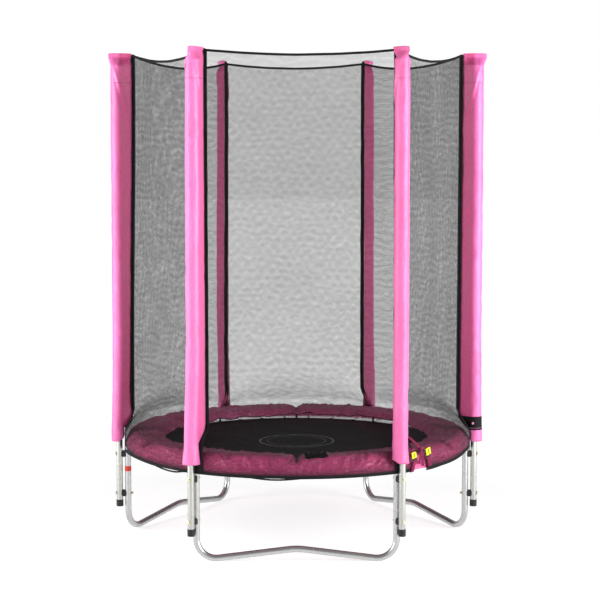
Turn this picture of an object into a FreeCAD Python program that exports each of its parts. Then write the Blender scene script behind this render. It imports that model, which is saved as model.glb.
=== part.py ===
"""Small enclosed trampoline: ring frame on three W-legs, six net poles, net, pad, mat and springs.

Millimetres. +Z is up, the ground is z = 0 and the origin is below the centre of the jump mat.
The front of the object faces -Y. A bearing of 0 degrees points along +X, 90 degrees along +Y.
"""
import FreeCAD, Part
import Sketcher
import math
import os
import re

Vector = FreeCAD.Vector
doc = FreeCAD.newDocument("Trampoline")
sheet = doc.addObject("Spreadsheet::Sheet", "Sizes")

SIZES = (
    ("ring_radius", 686.0, "centre line of the frame ring"),
    ("ring_level", 358.0, "height of the frame ring's centre line"),
    ("tube_radius", 12.7, "outside of every frame tube"),
    ("bore_radius", 11.5, "inside of every frame tube"),
    ("spigot_radius", 11.3, "outside of a swaged tube end"),
    ("spigot_bore", 10.1, "inside of a swaged tube end"),
    ("spigot_reach", 55.0, "length of a swaged tube end"),
    ("leg_angle", 33.4, "half of the bearing that one W-leg spans"),
    ("leg_bend", 74.0, "centre line of the leg's lower bends"),
    ("leg_rise", 7.0, "slope of the leg's base, degrees"),
    ("leg_peak_bend", 260.0, "centre line of the bend in the middle of the leg's base"),
    ("socket_bottom", 172.0, "lower end of the leg sockets"),
    ("pole_radius", 720.0, "circle through the six pole axes"),
    ("pole_bottom", 106.0, "lower end of the pole tubes"),
    ("pole_split", 950.0, "joint between lower and upper pole tubes"),
    ("pole_top", 1862.0, "upper end of the pole tubes"),
    ("bolt_low", 156.0, "height of the lower pole bolts"),
    ("bolt_high", 318.0, "height of the upper pole bolts"),
    ("bolt_radius", 3.0, "M6 shank"),
    ("hole_radius", 3.3, "clearance hole for M6"),
    ("foam_radius", 26.0, "outside of the pole foam"),
    ("foam_bottom", 480.0, "lower end of the pole foam"),
    ("sleeve_radius", 29.5, "outside of the pole sleeve"),
    ("sleeve_bottom", 370.0, "lower end of the pole sleeve"),
    ("sleeve_shoulder", 1873.0, "where the sleeve starts to flatten"),
    ("sleeve_top", 1931.0, "flat top seam of the sleeve"),
    ("fin_reach", 55.0, "from the pole axis to the inner edge of the sleeve's fin"),
    ("fin_half", 1.5, "half of the fin's thickness"),
    ("seam_reach", 58.0, "from the pole axis to the outer end of the top seam"),
    ("net_corner", 650.0, "radius of the net's vertical seams"),
    ("net_cloth", 1.6, "thickness of the net panels"),
    ("net_bottom", 337.0, "lower edge of the net"),
    ("net_foot", 702.2, "radius of the net around the pad's rim"),
    ("flare_low", 405.0, "level where the net leaves the pad's rim"),
    ("flare_high", 600.0, "level where the net's seams become vertical"),
    ("net_top", 1874.0, "upper edge of the net"),
    ("cord_high", 1918.0, "upper cord of the net at the poles"),
    ("cord_low", 1891.0, "upper cord of the net between the poles"),
    ("door_low", 600.0, "lower end of the door slit"),
    ("door_high", 1700.0, "upper end of the door slit"),
    ("door_post", 45.0, "net between the front right seam and the zip"),
    ("door_gap", 0.8, "from the slit's middle line to the cloth on either side"),
    ("door_seam", 12.0, "net between the door flap and the right seam"),
    ("mat_radius", 580.0, "edge of the jump mat"),
    ("mat_level", 365.5, "upper face of the jump mat"),
    ("mat_cloth", 3.0, "thickness of the jump mat"),
    ("web_level", 367.5, "upper face of the mat's edge webbing"),
    ("v_ring_bar", 586.5, "radius of the V-ring's straight bar"),
    ("v_ring_apex", 606.0, "radius of the V-ring's point"),
    ("hook_back", 4.8, "from the V-ring's point back to the spring's inner hook"),
    ("coil_radius", 7.0, "outside of the spring coils"),
    ("coil_inner", 616.0, "inner end of the spring coils"),
    ("coil_outer", 664.0, "outer end of the spring coils"),
    ("hook_radius", 682.0, "radius of the spring holes in the ring"),
    ("pad_inner", 533.0, "inner edge of the frame pad"),
    ("pad_outer", 701.0, "outer face of the pad's skirt"),
    ("pad_crest", 420.0, "highest level of the frame pad"),
    ("pad_base", 376.5, "underside of the pad's foam"),
    ("skirt_bottom", 338.0, "lower edge of the pad's skirt"),
    ("pad_cloth", 1.2, "thickness of the pad's cover"),
    ("buckle_circle", 705.2, "back face of the door buckles"),
    ("buckle_tilt", 15.0, "lean of the door buckles, degrees"),
    ("buckle_left_bearing", -51.6, "bearing of the left door buckle, degrees"),
    ("buckle_left_level", 403.0, "height of the left door buckle"),
    ("buckle_right_bearing", -45.5, "bearing of the right door buckle, degrees"),
    ("buckle_right_level", 409.0, "height of the right door buckle"),
    ("band_low", 419.0, "lower edge of the dark band on the right sleeve"),
    ("band_high", 473.0, "upper edge of the dark band on the right sleeve"),
    ("marker_low", 247.0, "lower edge of the marker band on the left leg"),
    ("marker_high", 268.0, "upper edge of the marker band on the left leg"),
)

SPRINGS = 36
SPRING_PITCH = 360 / SPRINGS
TIES = 12
SECTION_ARC = 120

for row, (alias, number, note) in enumerate(SIZES, start=1):
    sheet.set(f"A{row}", alias)
    sheet.set(f"B{row}", str(number))
    sheet.set(f"C{row}", note)
    sheet.setAlias(f"B{row}", alias)
doc.recompute()

ALIASES = re.compile(r"\b(" + "|".join(alias for alias, _, _ in SIZES) + r")\b")
SECTIONS = {"front": -90, "right": 30, "left": 150}
POLES = {
    "front_left": "-90 - leg_angle",
    "front_right": "-90 + leg_angle",
    "right": "30 - leg_angle",
    "rear_right": "30 + leg_angle",
    "rear_left": "150 - leg_angle",
    "left": "150 + leg_angle",
}


def formula(text):
    """Turn bare aliases into references to the sheet."""
    return ALIASES.sub(r"Sizes.\1", str(text))


def value(text):
    """Work a formula out with the sheet's present numbers."""
    return float(sheet.evalExpression(formula(text)))


def bind(item, prop, text):
    """Let a property follow a formula of the sheet."""
    item.setExpression(prop, formula(text))


def place(item, bearing, radius="0", level="0"):
    """Stand an item on a bearing, its own +X pointing away from the centre."""
    item.Placement = FreeCAD.Placement(Vector(0, 0, 0), FreeCAD.Rotation(Vector(0, 0, 1), 1))
    bind(item, "Placement.Base.x", f"({radius}) * cos(({bearing}) * 1 deg)")
    bind(item, "Placement.Base.y", f"({radius}) * sin(({bearing}) * 1 deg)")
    bind(item, "Placement.Base.z", level)
    bind(item, "Placement.Rotation.Angle", bearing)
    return item


def at(bearing, radius=0.0, level=0.0):
    """The same stand as a plain placement, for copies of a master."""
    turn = FreeCAD.Rotation(Vector(0, 0, 1), bearing)
    return FreeCAD.Placement(turn.multVec(Vector(radius, 0, level)), turn)


# ---- sketches and features -------------------------------------------------------------------

def origin_feature(body, role):
    return next(item for item in body.Origin.OriginFeatures if item.Role == role)


def sketch_on(body, role, lift="0", turn="0"):
    """A sketch on an origin plane of its body, lifted along its normal and turned about its own y."""
    sketch = body.newObject("Sketcher::SketchObject", f"{body.Name}_sketch")
    sketch.AttachmentSupport = [(origin_feature(body, role), "")]
    sketch.MapMode = "FlatFace"
    sketch.AttachmentOffset = FreeCAD.Placement(
        Vector(0, 0, 0), FreeCAD.Rotation(Vector(0, 1, 0), value(turn))
    )
    bind(sketch, "AttachmentOffset.Base.z", lift)
    return sketch


def pin_point(sketch, geometry, vertex, across, along):
    """Dimension a vertex from the sketch's origin with two formulas."""
    for kind, text in (("DistanceX", across), ("DistanceY", along)):
        number = value(text)
        index = sketch.addConstraint(Sketcher.Constraint(kind, -1, 1, geometry, vertex, number))
        bind(sketch, f"Constraints[{index}]", text)


def add_circle(sketch, across, along, radius):
    centre = Vector(value(across), value(along), 0)
    circle = sketch.addGeometry(Part.Circle(centre, Vector(0, 0, 1), value(radius)))
    index = sketch.addConstraint(Sketcher.Constraint("Radius", circle, value(radius)))
    bind(sketch, f"Constraints[{index}]", radius)
    pin_point(sketch, circle, 3, across, along)


def add_outline(sketch, corners):
    """A closed polygon with every corner dimensioned."""
    points = [Vector(value(across), value(along), 0) for across, along in corners]
    lines = [
        sketch.addGeometry(Part.LineSegment(start, end))
        for start, end in zip(points, points[1:] + points[:1])
    ]
    for line, following in zip(lines, lines[1:] + lines[:1]):
        sketch.addConstraint(Sketcher.Constraint("Coincident", line, 2, following, 1))
    for line, (across, along) in zip(lines, corners):
        pin_point(sketch, line, 1, across, along)


def add_feature(body, kind, sketch, **settings):
    feature = body.newObject(f"PartDesign::{kind}", f"{body.Name}_{kind}")
    feature.Profile = sketch
    for prop, setting in settings.items():
        setattr(feature, prop, setting)
    sketch.Visibility = False
    return feature


def pad(body, sketch, length, **settings):
    feature = add_feature(body, "Pad", sketch, **settings)
    bind(feature, "Length", length)
    return feature


def pocket(body, sketch, length, **settings):
    """Cut a profile away and make sure that it removed something."""
    before = volume_of(body)
    feature = add_feature(body, "Pocket", sketch, **settings)
    bind(feature, "Length", length)
    if volume_of(body) >= before:
        raise RuntimeError(f"a pocket of {body.Label} cut nothing")
    return feature


def volume_of(body):
    doc.recompute()
    return body.Shape.Volume


def revolve(body, sketch, angle=360, axis="V_Axis", **settings):
    return add_feature(
        body, "Revolution", sketch, ReferenceAxis=(sketch, [axis]), Angle=angle, **settings
    )


def groove(body, sketch, angle=360, **settings):
    before = volume_of(body)
    feature = add_feature(
        body, "Groove", sketch, ReferenceAxis=(sketch, ["V_Axis"]), Angle=angle, **settings
    )
    if volume_of(body) >= before:
        raise RuntimeError(f"a groove of {body.Label} cut nothing")
    return feature


def polar_pattern(body, originals, count, angle):
    pattern = body.newObject("PartDesign::PolarPattern", f"{body.Name}_Pattern")
    pattern.Originals = originals
    pattern.Axis = (origin_feature(body, "Z_Axis"), [""])
    pattern.Angle = angle
    pattern.Occurrences = count
    body.Tip = pattern
    return pattern


def new_body(name):
    return doc.addObject("PartDesign::Body", name)


def revolved_body(name, outline, angle=360, **settings):
    """A body turned about its own Z axis from an outline of radius and height."""
    body = new_body(name)
    sketch = sketch_on(body, "XZ_Plane")
    add_outline(sketch, outline)
    revolve(body, sketch, angle, **settings)
    return body


def copies(name, master, placements):
    """One node that holds separate solids, each a placed link to the same master."""
    links = []
    for placement in placements:
        link = doc.addObject("App::Link", f"{name}_item")
        link.LinkedObject = master
        link.LinkTransform = True
        link.LinkPlacement = placement
        links.append(link)
    group = doc.addObject("Part::Compound", name)
    group.Links = links
    return group


def pole_bearings():
    return [value(bearing) for bearing in POLES.values()]


# ---- Part primitives -------------------------------------------------------------------------

def cylinder(name, radius, height, base=(0, 0, 0), direction=Vector(0, 0, 1)):
    item = doc.addObject("Part::Cylinder", name)
    bind(item, "Radius", radius)
    bind(item, "Height", height)
    position = Vector(*(value(number) for number in base))
    item.Placement = FreeCAD.Placement(position, FreeCAD.Rotation(Vector(0, 0, 1), direction))
    for axis, text in zip("xyz", base):
        bind(item, f"Placement.Base.{axis}", text)
    return item


def block(name, low, high):
    """A box between two opposite corners given as formulas."""
    item = doc.addObject("Part::Box", name)
    for prop, axis, start, end in zip(("Length", "Width", "Height"), "xyz", low, high):
        bind(item, prop, f"({end}) - ({start})")
        bind(item, f"Placement.Base.{axis}", start)
    return item


def fuse(name, pieces):
    item = doc.addObject("Part::MultiFuse", name)
    item.Shapes = pieces
    return item


def cut(name, base, tool):
    item = doc.addObject("Part::Cut", name)
    item.Base = base
    item.Tool = tool
    return item


def tube(name, outer, inner, bottom, top):
    """A straight tube on its own Z axis."""
    length = f"({top}) - ({bottom})"
    skin = cylinder(f"{name}_skin", outer, length, ("0", "0", bottom))
    bore = cylinder(f"{name}_bore", inner, length, ("0", "0", bottom))
    return cut(name, skin, bore)


# ---- frame -----------------------------------------------------------------------------------

def radial_hole(body, turn, level):
    """A bolt hole from the centre outwards through one tube wall pair."""
    sketch = sketch_on(body, "YZ_Plane", turn=turn)
    add_circle(sketch, "0", level, "hole_radius")
    pocket(body, sketch, "ring_radius + 2 * tube_radius", Reversed=True)


def ring_section(name, bearing):
    """A third of the frame ring with a swaged end, two leg sockets and twelve spring holes."""
    body = new_body(name)
    rod = sketch_on(body, "XZ_Plane")
    add_circle(rod, "ring_radius", "ring_level", "tube_radius")
    revolve(body, rod, SECTION_ARC, Midplane=True)
    for side in ("leg_angle", "-leg_angle"):
        socket = sketch_on(body, "XY_Plane", lift="socket_bottom")
        across = f"ring_radius * cos(({side}) * 1 deg)"
        along = f"ring_radius * sin(({side}) * 1 deg)"
        add_circle(socket, across, along, "tube_radius")
        add_circle(socket, across, along, "bore_radius")
        pad(body, socket, "ring_level - tube_radius / 2 - socket_bottom")
    bore = sketch_on(body, "XZ_Plane")
    add_circle(bore, "ring_radius", "ring_level", "bore_radius")
    groove(body, bore, SECTION_ARC, Midplane=True)
    swaged_end(body, turn="57.5", outer="(tube_radius + bore_radius) / 2", arc=2.4)
    swaged_end(body, turn="59.8", outer="spigot_radius", arc=4.4)
    hole = sketch_on(body, "XY_Plane", lift="ring_level + tube_radius + 1")
    first = SPRING_PITCH / 2 - SECTION_ARC / 2
    add_circle(hole, f"hook_radius * cos({first} * 1 deg)", f"hook_radius * sin({first} * 1 deg)", "1.8")
    drilled = pocket(body, hole, "tube_radius / 2")
    polar_pattern(body, [drilled], SPRINGS // 3, SECTION_ARC - SPRING_PITCH)
    doc.recompute()
    for side in ("leg_angle", "-leg_angle"):
        radial_hole(body, side, "bolt_high")
    return place(body, bearing)


def swaged_end(body, turn, outer, arc):
    """A short narrower stretch of ring tube that starts at a bearing."""
    sketch = sketch_on(body, "XZ_Plane", turn=turn)
    add_circle(sketch, "ring_radius", "ring_level", outer)
    add_circle(sketch, "ring_radius", "ring_level", "spigot_bore")
    revolve(body, sketch, arc)


def leg_spine(body):
    """Centre line of a W-leg: upright, bend, rising base, shallow peak, and the mirror image."""
    sketch = sketch_on(body, "YZ_Plane", lift="ring_radius * cos(leg_angle * 1 deg)")
    span = value("ring_radius * sin(leg_angle * 1 deg)")
    bend, peak = value("leg_bend"), value("leg_peak_bend")
    slope = math.radians(value("leg_rise"))
    top = value("socket_bottom - 0.5")
    axis_level = value("leg_bend + tube_radius")
    normal = Vector(0, 0, 1)
    foot = Vector(span - bend - bend * math.sin(slope), axis_level - bend * math.cos(slope), 0)
    peak_x = peak * math.sin(slope)
    crest = Vector(peak_x, foot.y + (foot.x - peak_x) * math.tan(slope), 0)
    hub = Vector(0, crest.y - peak * math.cos(slope), 0)

    def mirrored(point):
        return Vector(-point.x, point.y, 0)

    def arc(centre, radius, start, end):
        return Part.ArcOfCircle(Part.Circle(centre, normal, radius), start, end)

    elbow = Vector(span - bend, axis_level, 0)
    left_top, left_end = Vector(-span, top, 0), Vector(-span, axis_level, 0)
    sketch.addGeometry(Part.LineSegment(left_top, left_end))
    sketch.addGeometry(arc(mirrored(elbow), bend, math.pi, 1.5 * math.pi + slope))
    sketch.addGeometry(Part.LineSegment(mirrored(foot), mirrored(crest)))
    sketch.addGeometry(arc(hub, peak, math.pi / 2 - slope, math.pi / 2 + slope))
    sketch.addGeometry(Part.LineSegment(crest, foot))
    sketch.addGeometry(arc(elbow, bend, 1.5 * math.pi - slope, 2 * math.pi))
    sketch.addGeometry(Part.LineSegment(mirrored(left_end), mirrored(left_top)))
    joints = ((0, 2, 1, 1), (1, 2, 2, 1), (2, 2, 3, 2), (3, 1, 4, 1), (4, 2, 5, 1), (5, 2, 6, 1))
    for first, first_end, second, second_end in joints:
        sketch.addConstraint(Sketcher.Constraint("Tangent", first, first_end, second, second_end))
    sketch.addConstraint(Sketcher.Constraint("Vertical", 0))
    sketch.addConstraint(Sketcher.Constraint("Symmetric", 0, 1, 6, 2, -2))
    sketch.addConstraint(Sketcher.Constraint("Symmetric", 1, 3, 5, 3, -2))
    sketch.addConstraint(Sketcher.Constraint("PointOnObject", 3, 3, -2))
    for curve, alias in ((1, "leg_bend"), (5, "leg_bend"), (3, "leg_peak_bend")):
        index = sketch.addConstraint(Sketcher.Constraint("Radius", curve, value(alias)))
        bind(sketch, f"Constraints[{index}]", alias)
    pin_point(sketch, 0, 1, "-ring_radius * sin(leg_angle * 1 deg)", "socket_bottom - 0.5")
    index = sketch.addConstraint(Sketcher.Constraint("DistanceY", -1, 1, 1, 3, axis_level))
    bind(sketch, f"Constraints[{index}]", "leg_bend + tube_radius")
    sketch.addConstraint(Sketcher.Constraint("Angle", 2, slope))
    return sketch


def w_leg(name, bearing):
    """One bent leg tube whose two uprights end in swaged spigots."""
    body = new_body(name)
    spine = leg_spine(body)
    across = "ring_radius * cos(leg_angle * 1 deg)"
    start = sketch_on(body, "XY_Plane", lift="socket_bottom - 0.5")
    add_circle(start, across, "-ring_radius * sin(leg_angle * 1 deg)", "tube_radius")
    add_circle(start, across, "-ring_radius * sin(leg_angle * 1 deg)", "bore_radius")
    doc.recompute()
    add_feature(body, "AdditivePipe", start, Spine=(spine, [f"Edge{n}" for n in range(1, 8)]))
    doc.recompute()
    for side in ("ring_radius", "-ring_radius"):
        along = f"{side} * sin(leg_angle * 1 deg)"
        for outer, bottom, height in (
            ("(tube_radius + bore_radius) / 2", "socket_bottom - 10", "8"),
            ("spigot_radius", "socket_bottom - 3", "spigot_reach"),
        ):
            ring = sketch_on(body, "XY_Plane", lift=bottom)
            add_circle(ring, across, along, outer)
            add_circle(ring, across, along, "spigot_bore")
            pad(body, ring, height)
    doc.recompute()
    for side in ("leg_angle", "-leg_angle"):
        radial_hole(body, side, "bolt_low")
    return place(body, bearing)


def marker_band():
    """A thin adhesive band around the outer left socket."""
    band = tube("marker_band", "tube_radius + 0.45", "tube_radius + 0.05", "marker_low", "marker_high")
    place(band, POLES["left"], "ring_radius")


# ---- poles -----------------------------------------------------------------------------------

def pole_lower(name, bearing):
    """Lower pole tube with a swaged upper end and two bolt holes."""
    body = revolved_body(name, (
        ("bore_radius", "pole_bottom"),
        ("tube_radius", "pole_bottom"),
        ("tube_radius", "pole_split"),
        ("spigot_radius", "pole_split"),
        ("spigot_radius", "pole_split + spigot_reach"),
        ("spigot_bore", "pole_split + spigot_reach"),
        ("spigot_bore", "pole_split - 8"),
        ("bore_radius", "pole_split - 12"),
    ))
    for level in ("bolt_low", "bolt_high"):
        sketch = sketch_on(body, "YZ_Plane")
        add_circle(sketch, "0", level, "hole_radius")
        pocket(body, sketch, "4 * tube_radius", Midplane=True)
    return place(body, bearing, "pole_radius")


def pole_upper(name, bearing):
    """Upper pole tube, pushed over the lower tube's swaged end."""
    body = revolved_body(name, (
        ("bore_radius", "pole_split + 0.5"),
        ("tube_radius", "pole_split + 0.5"),
        ("tube_radius", "pole_top"),
        ("bore_radius", "pole_top"),
    ))
    return place(body, bearing, "pole_radius")


def pole_caps():
    """Moulded cups over the lower and upper tube ends."""
    bottom = revolved_body("bottom_cap_master", (
        ("0", "pole_bottom - 3"),
        ("tube_radius + 1", "pole_bottom - 3"),
        ("tube_radius + 1.6", "pole_bottom - 1"),
        ("tube_radius + 1.6", "pole_bottom + 24"),
        ("tube_radius + 0.05", "pole_bottom + 24"),
        ("tube_radius + 0.05", "pole_bottom - 0.4"),
        ("0", "pole_bottom - 0.4"),
    ))
    top = revolved_body("top_cap_master", (
        ("0", "pole_top + 3.5"),
        ("tube_radius + 0.9", "pole_top + 3.5"),
        ("tube_radius + 0.9", "pole_top - 12"),
        ("tube_radius + 0.05", "pole_top - 12"),
        ("tube_radius + 0.05", "pole_top + 1"),
        ("0", "pole_top + 1"),
    ))
    stands = [at(bearing, value("pole_radius")) for bearing in pole_bearings()]
    copies("pole_bottom_caps", bottom, stands)
    copies("pole_top_caps", top, stands)


def fastener_stands():
    radius = value("pole_radius")
    levels = (value("bolt_low"), value("bolt_high"))
    return [at(bearing, radius, level) for bearing in pole_bearings() for level in levels]


def along_x(name, outline):
    """A body turned about its own X axis from an outline of distance and radius."""
    body = new_body(name)
    sketch = sketch_on(body, "XZ_Plane")
    add_outline(sketch, outline)
    revolve(body, sketch, axis="H_Axis")
    return body


def pole_bolts():
    """Bolts with low domed heads outside the poles, washers under them, nuts inside the legs."""
    gap = "pole_radius - ring_radius"
    head = "tube_radius + 1.2"
    bolt = along_x("bolt_master", (
        (f"-({gap}) - tube_radius - 8", "0"),
        (f"{head} + 4.4", "0"),
        (f"{head} + 3.4", "3.6"),
        (f"{head} + 1.6", "6.2"),
        (head, "6.6"),
        (head, "bolt_radius"),
        (f"-({gap}) - tube_radius - 8", "bolt_radius"),
    ))
    washer = along_x("washer_master", (
        ("tube_radius + 0.1", "hole_radius"),
        ("tube_radius + 1.1", "hole_radius"),
        ("tube_radius + 1.1", "8"),
        ("tube_radius + 0.1", "8"),
    ))
    nut = new_body("nut_master")
    hexagon = sketch_on(nut, "YZ_Plane", lift=f"-({gap}) - tube_radius - 5.4")
    add_outline(hexagon, [
        (f"5.77 * cos({60 * side} * 1 deg)", f"5.77 * sin({60 * side} * 1 deg)") for side in range(6)
    ])
    add_circle(hexagon, "0", "0", "bolt_radius + 0.05")
    pad(nut, hexagon, "5")
    copies("pole_bolts", bolt, fastener_stands())
    copies("pole_washers", washer, fastener_stands())
    copies("pole_nuts", nut, fastener_stands())


def pole_spacers():
    """Round saddles that hold the poles away from the legs."""
    gap = "pole_radius - ring_radius"
    blank = cylinder("spacer_blank", "12.5", "22", (f"-({gap}) / 2", "-11", "0"), Vector(0, 1, 0))
    tools = fuse("spacer_tools", [
        cylinder("spacer_pole_seat", "tube_radius + 0.05", "40", ("0", "0", "-20")),
        cylinder("spacer_leg_seat", "tube_radius + 0.05", "40", (f"-({gap})", "0", "-20")),
        cylinder("spacer_hole", "hole_radius", gap, (f"-({gap})", "0", "0"), Vector(1, 0, 0)),
    ])
    copies("pole_spacers", cut("spacer_master", blank, tools), fastener_stands())


def pole_foam():
    master = tube("foam_master", "foam_radius", "tube_radius + 0.5", "foam_bottom", "pole_top - 14")
    copies("pole_foam", master, [at(bearing, value("pole_radius")) for bearing in pole_bearings()])


def pole_sleeve(name, bearing):
    """A sleeve around the foam with a flat fin towards the net and a flattened, sewn top."""
    body = new_body(name)
    height = "sleeve_shoulder - sleeve_bottom"
    barrel = sketch_on(body, "XY_Plane", lift="sleeve_bottom")
    add_circle(barrel, "0", "0", "sleeve_radius")
    pad(body, barrel, height)
    fin = sketch_on(body, "XY_Plane", lift="sleeve_bottom")
    lean = "108"
    shoulder = (f"sleeve_radius * cos({lean} * 1 deg)", f"sleeve_radius * sin({lean} * 1 deg)")
    add_outline(fin, (
        shoulder,
        ("-fin_reach + 8", "fin_half"),
        ("-fin_reach", "fin_half"),
        ("-fin_reach", "-fin_half"),
        ("-fin_reach + 8", "-fin_half"),
        (shoulder[0], f"-{shoulder[1]}"),
    ))
    pad(body, fin, height)
    mouth = sketch_on(body, "XY_Plane", lift="sleeve_bottom")
    add_circle(mouth, "0", "0", "foam_radius + 0.5")
    pocket(body, mouth, "pole_top + 6 - sleeve_bottom", Reversed=True)
    flare = sketch_on(body, "XZ_Plane")
    add_outline(flare, (
        ("-tube_radius - 0.3", "sleeve_bottom - 10"),
        ("-tube_radius - 0.3", "flare_low"),
        ("-fin_reach", "flare_high"),
        ("-fin_reach - 20", "flare_high"),
        ("-fin_reach - 20", "sleeve_bottom - 10"),
    ))
    pocket(body, flare, "4 * sleeve_radius", Midplane=True)
    base = sketch_on(body, "XY_Plane", lift="sleeve_shoulder")
    add_rectangle(base, "-fin_reach + 3", "21", "20")
    seam = sketch_on(body, "XY_Plane", lift="sleeve_top")
    add_rectangle(seam, "-fin_reach", "seam_reach", "fin_half")
    add_feature(body, "AdditiveLoft", base, Sections=[seam], Ruled=True)
    return place(body, bearing, "pole_radius")


def add_rectangle(sketch, left, right, half_width):
    add_outline(sketch, (
        (left, f"-({half_width})"),
        (right, f"-({half_width})"),
        (right, half_width),
        (left, half_width),
    ))


def sleeve_band():
    """A plain dark band sewn around the right pole's sleeve."""
    body = revolved_body("sleeve_band", (
        ("sleeve_radius + 0.2", "band_low"),
        ("sleeve_radius + 1", "band_low"),
        ("sleeve_radius + 1", "band_high"),
        ("sleeve_radius + 0.2", "band_high"),
    ), 210, Midplane=True)
    place(body, POLES["right"], "pole_radius")


# ---- net enclosure ---------------------------------------------------------------------------

SEAM_GAP = 1.4


def net_shape(half_angle):
    """A net panel around bearing 0: flat between two seams, then wrapped round the pad's rim."""
    cloth = Vector(value("net_cloth"), 0, 0)
    slack = 1.0
    chord = math.cos(math.radians(half_angle))
    foot, corner = value("net_foot"), value("net_corner")
    levels = (
        (value("net_bottom"), foot, foot),
        (value("flare_low"), foot, foot),
        (value("flare_high"), corner, corner * chord + slack),
        (value("net_top"), corner, corner * chord + slack),
    )
    wires = []
    for level, end_radius, middle_radius in levels:
        swing = math.radians(half_angle) - SEAM_GAP / end_radius
        left = Vector(end_radius * math.cos(swing), -end_radius * math.sin(swing), level)
        right = Vector(left.x, -left.y, level)
        middle = Vector(middle_radius, 0, level)
        inner = Part.Arc(left, middle, right).toShape()
        outer = Part.Arc(left + cloth, middle + cloth, right + cloth).toShape()
        ends = [Part.makeLine(point, point + cloth) for point in (left, right)]
        wires.append(Part.Wire([inner, ends[1], outer.reversed(), ends[0].reversed()]))
    return Part.makeLoft(wires, True, True)


def net_feature(name, shape, bearing):
    panel = doc.addObject("Part::Feature", name)
    panel.Shape = shape
    return place(panel, bearing)


def net_panels():
    """Three wide panels above the legs, two narrow ones and the narrow door panel."""
    wide = value("leg_angle")
    narrow = 60 - wide
    for name, bearing in (("net_panel_front", -90), ("net_panel_right", 30), ("net_panel_left", 150)):
        net_feature(name, net_shape(wide), bearing)
    for name, bearing in (("net_panel_rear", 90), ("net_panel_front_left", 210)):
        net_feature(name, net_shape(narrow), bearing)
    door_panel(net_shape(narrow), narrow)


def door_panel(panel, half_angle):
    """The door flap swings in an opening of its panel, beside the zip."""
    edge = value("net_corner") * math.sin(math.radians(half_angle))
    zip_line = -edge + value("door_post")
    hinge_line = edge - value("door_seam")
    low, high = value("door_low"), value("door_high")
    reach = value("ring_radius")

    def window(margin):
        corner = Vector(0, zip_line - margin, low - margin)
        return Part.makeBox(
            reach, hinge_line - zip_line + 2 * margin, high - low + 2 * margin, corner
        )

    gap = value("door_gap")
    net_feature("net_door_surround", panel.cut(window(gap)), -30)
    net_feature("net_door_flap", panel.common(window(-gap)), -30)
    face = "net_corner * cos((60 - leg_angle) * 1 deg) + net_cloth + 1.2"
    left = "-net_corner * sin((60 - leg_angle) * 1 deg) + door_post"
    tapes = (
        ("zip_tape_post", f"{left} - 12", f"{left} - 0.6"),
        ("zip_tape_flap", f"{left} + 0.6", f"{left} + 12"),
    )
    for name, start, end in tapes:
        low_corner = (face, start, "door_low + 1")
        high_corner = (f"{face} + 1", end, "door_high - 1")
        place_block(name, low_corner, high_corner, "-30")
    place_block(
        "zip_slider",
        (f"{face} + 1.2", f"{left} - 11", "door_low + 4"),
        (f"{face} + 4", f"{left} - 0.9", "door_low + 26"),
        "-30",
    )


def place_block(name, low, high, bearing):
    """A box in the frame of a bearing, wrapped so that the node has its own placement."""
    item = doc.addObject("Part::Compound", name)
    item.Links = [block(f"{name}_box", low, high)]
    return place(item, bearing)


def edge_tapes():
    """Binding that joins two net panels to a sleeve's fin."""
    body = new_body("edge_tape_master")
    sketch = sketch_on(body, "XZ_Plane")
    fin = "pole_radius - fin_reach"
    add_outline(sketch, (
        ("net_corner", "net_top"),
        ("net_corner", "flare_high"),
        ("net_foot + 0.3", "flare_low"),
        ("net_foot + 0.3", "net_bottom"),
        ("pole_radius - tube_radius - 1.3", "net_bottom"),
        ("pole_radius - tube_radius - 1.3", "flare_low"),
        (f"{fin} - 0.5", "flare_high"),
        (f"{fin} - 0.5", "net_top"),
    ))
    pad(body, sketch, "2 * (fin_half - 0.3)", Midplane=True)
    copies("net_edge_tapes", body, [at(bearing) for bearing in pole_bearings()])


def top_cord():
    """The net's upper cord: twelve straight runs that dip between the poles."""
    corner = value("net_corner + 6")
    high = value("cord_high")
    low = value("cord_low")
    bearings = sorted(bearing % 360 for bearing in pole_bearings())
    points = []
    for bearing, following in zip(bearings, bearings[1:] + [bearings[0] + 360]):
        half = math.radians((following - bearing) / 2)
        points.append(at(bearing, corner, high).Base)
        points.append(at((bearing + following) / 2, corner * math.cos(half), low).Base)
    start = (points[0] + points[1]) / 2
    path = Part.Wire(Part.makePolygon([start] + points[1:] + [points[0], start]))
    profile = Part.Wire(Part.makeCircle(3.2, start, points[1] - points[0]))
    mitred = 1
    cord = doc.addObject("Part::Feature", "net_top_cord")
    cord.Shape = path.makePipeShell([profile], True, False, mitred)
    cord.Placement = FreeCAD.Placement()


def hem_cord():
    """Elastic cord in the net's lower hem, under the pad's rim."""
    cord = doc.addObject("Part::Torus", "net_hem_cord")
    bind(cord, "Radius1", "net_foot + 0.8")
    bind(cord, "Radius2", "2")
    bind(cord, "Placement.Base.z", "net_bottom - 2.5")


# ---- door buckles ----------------------------------------------------------------------------

def buckle_stand(bearing, level):
    """Stand of a buckle: its back on the net's foot, leaning in the plane of the rim."""
    lean = FreeCAD.Placement(Vector(), FreeCAD.Rotation(Vector(1, 0, 0), value("buckle_tilt")))
    return at(bearing, value("buckle_circle"), level) * lean


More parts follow.
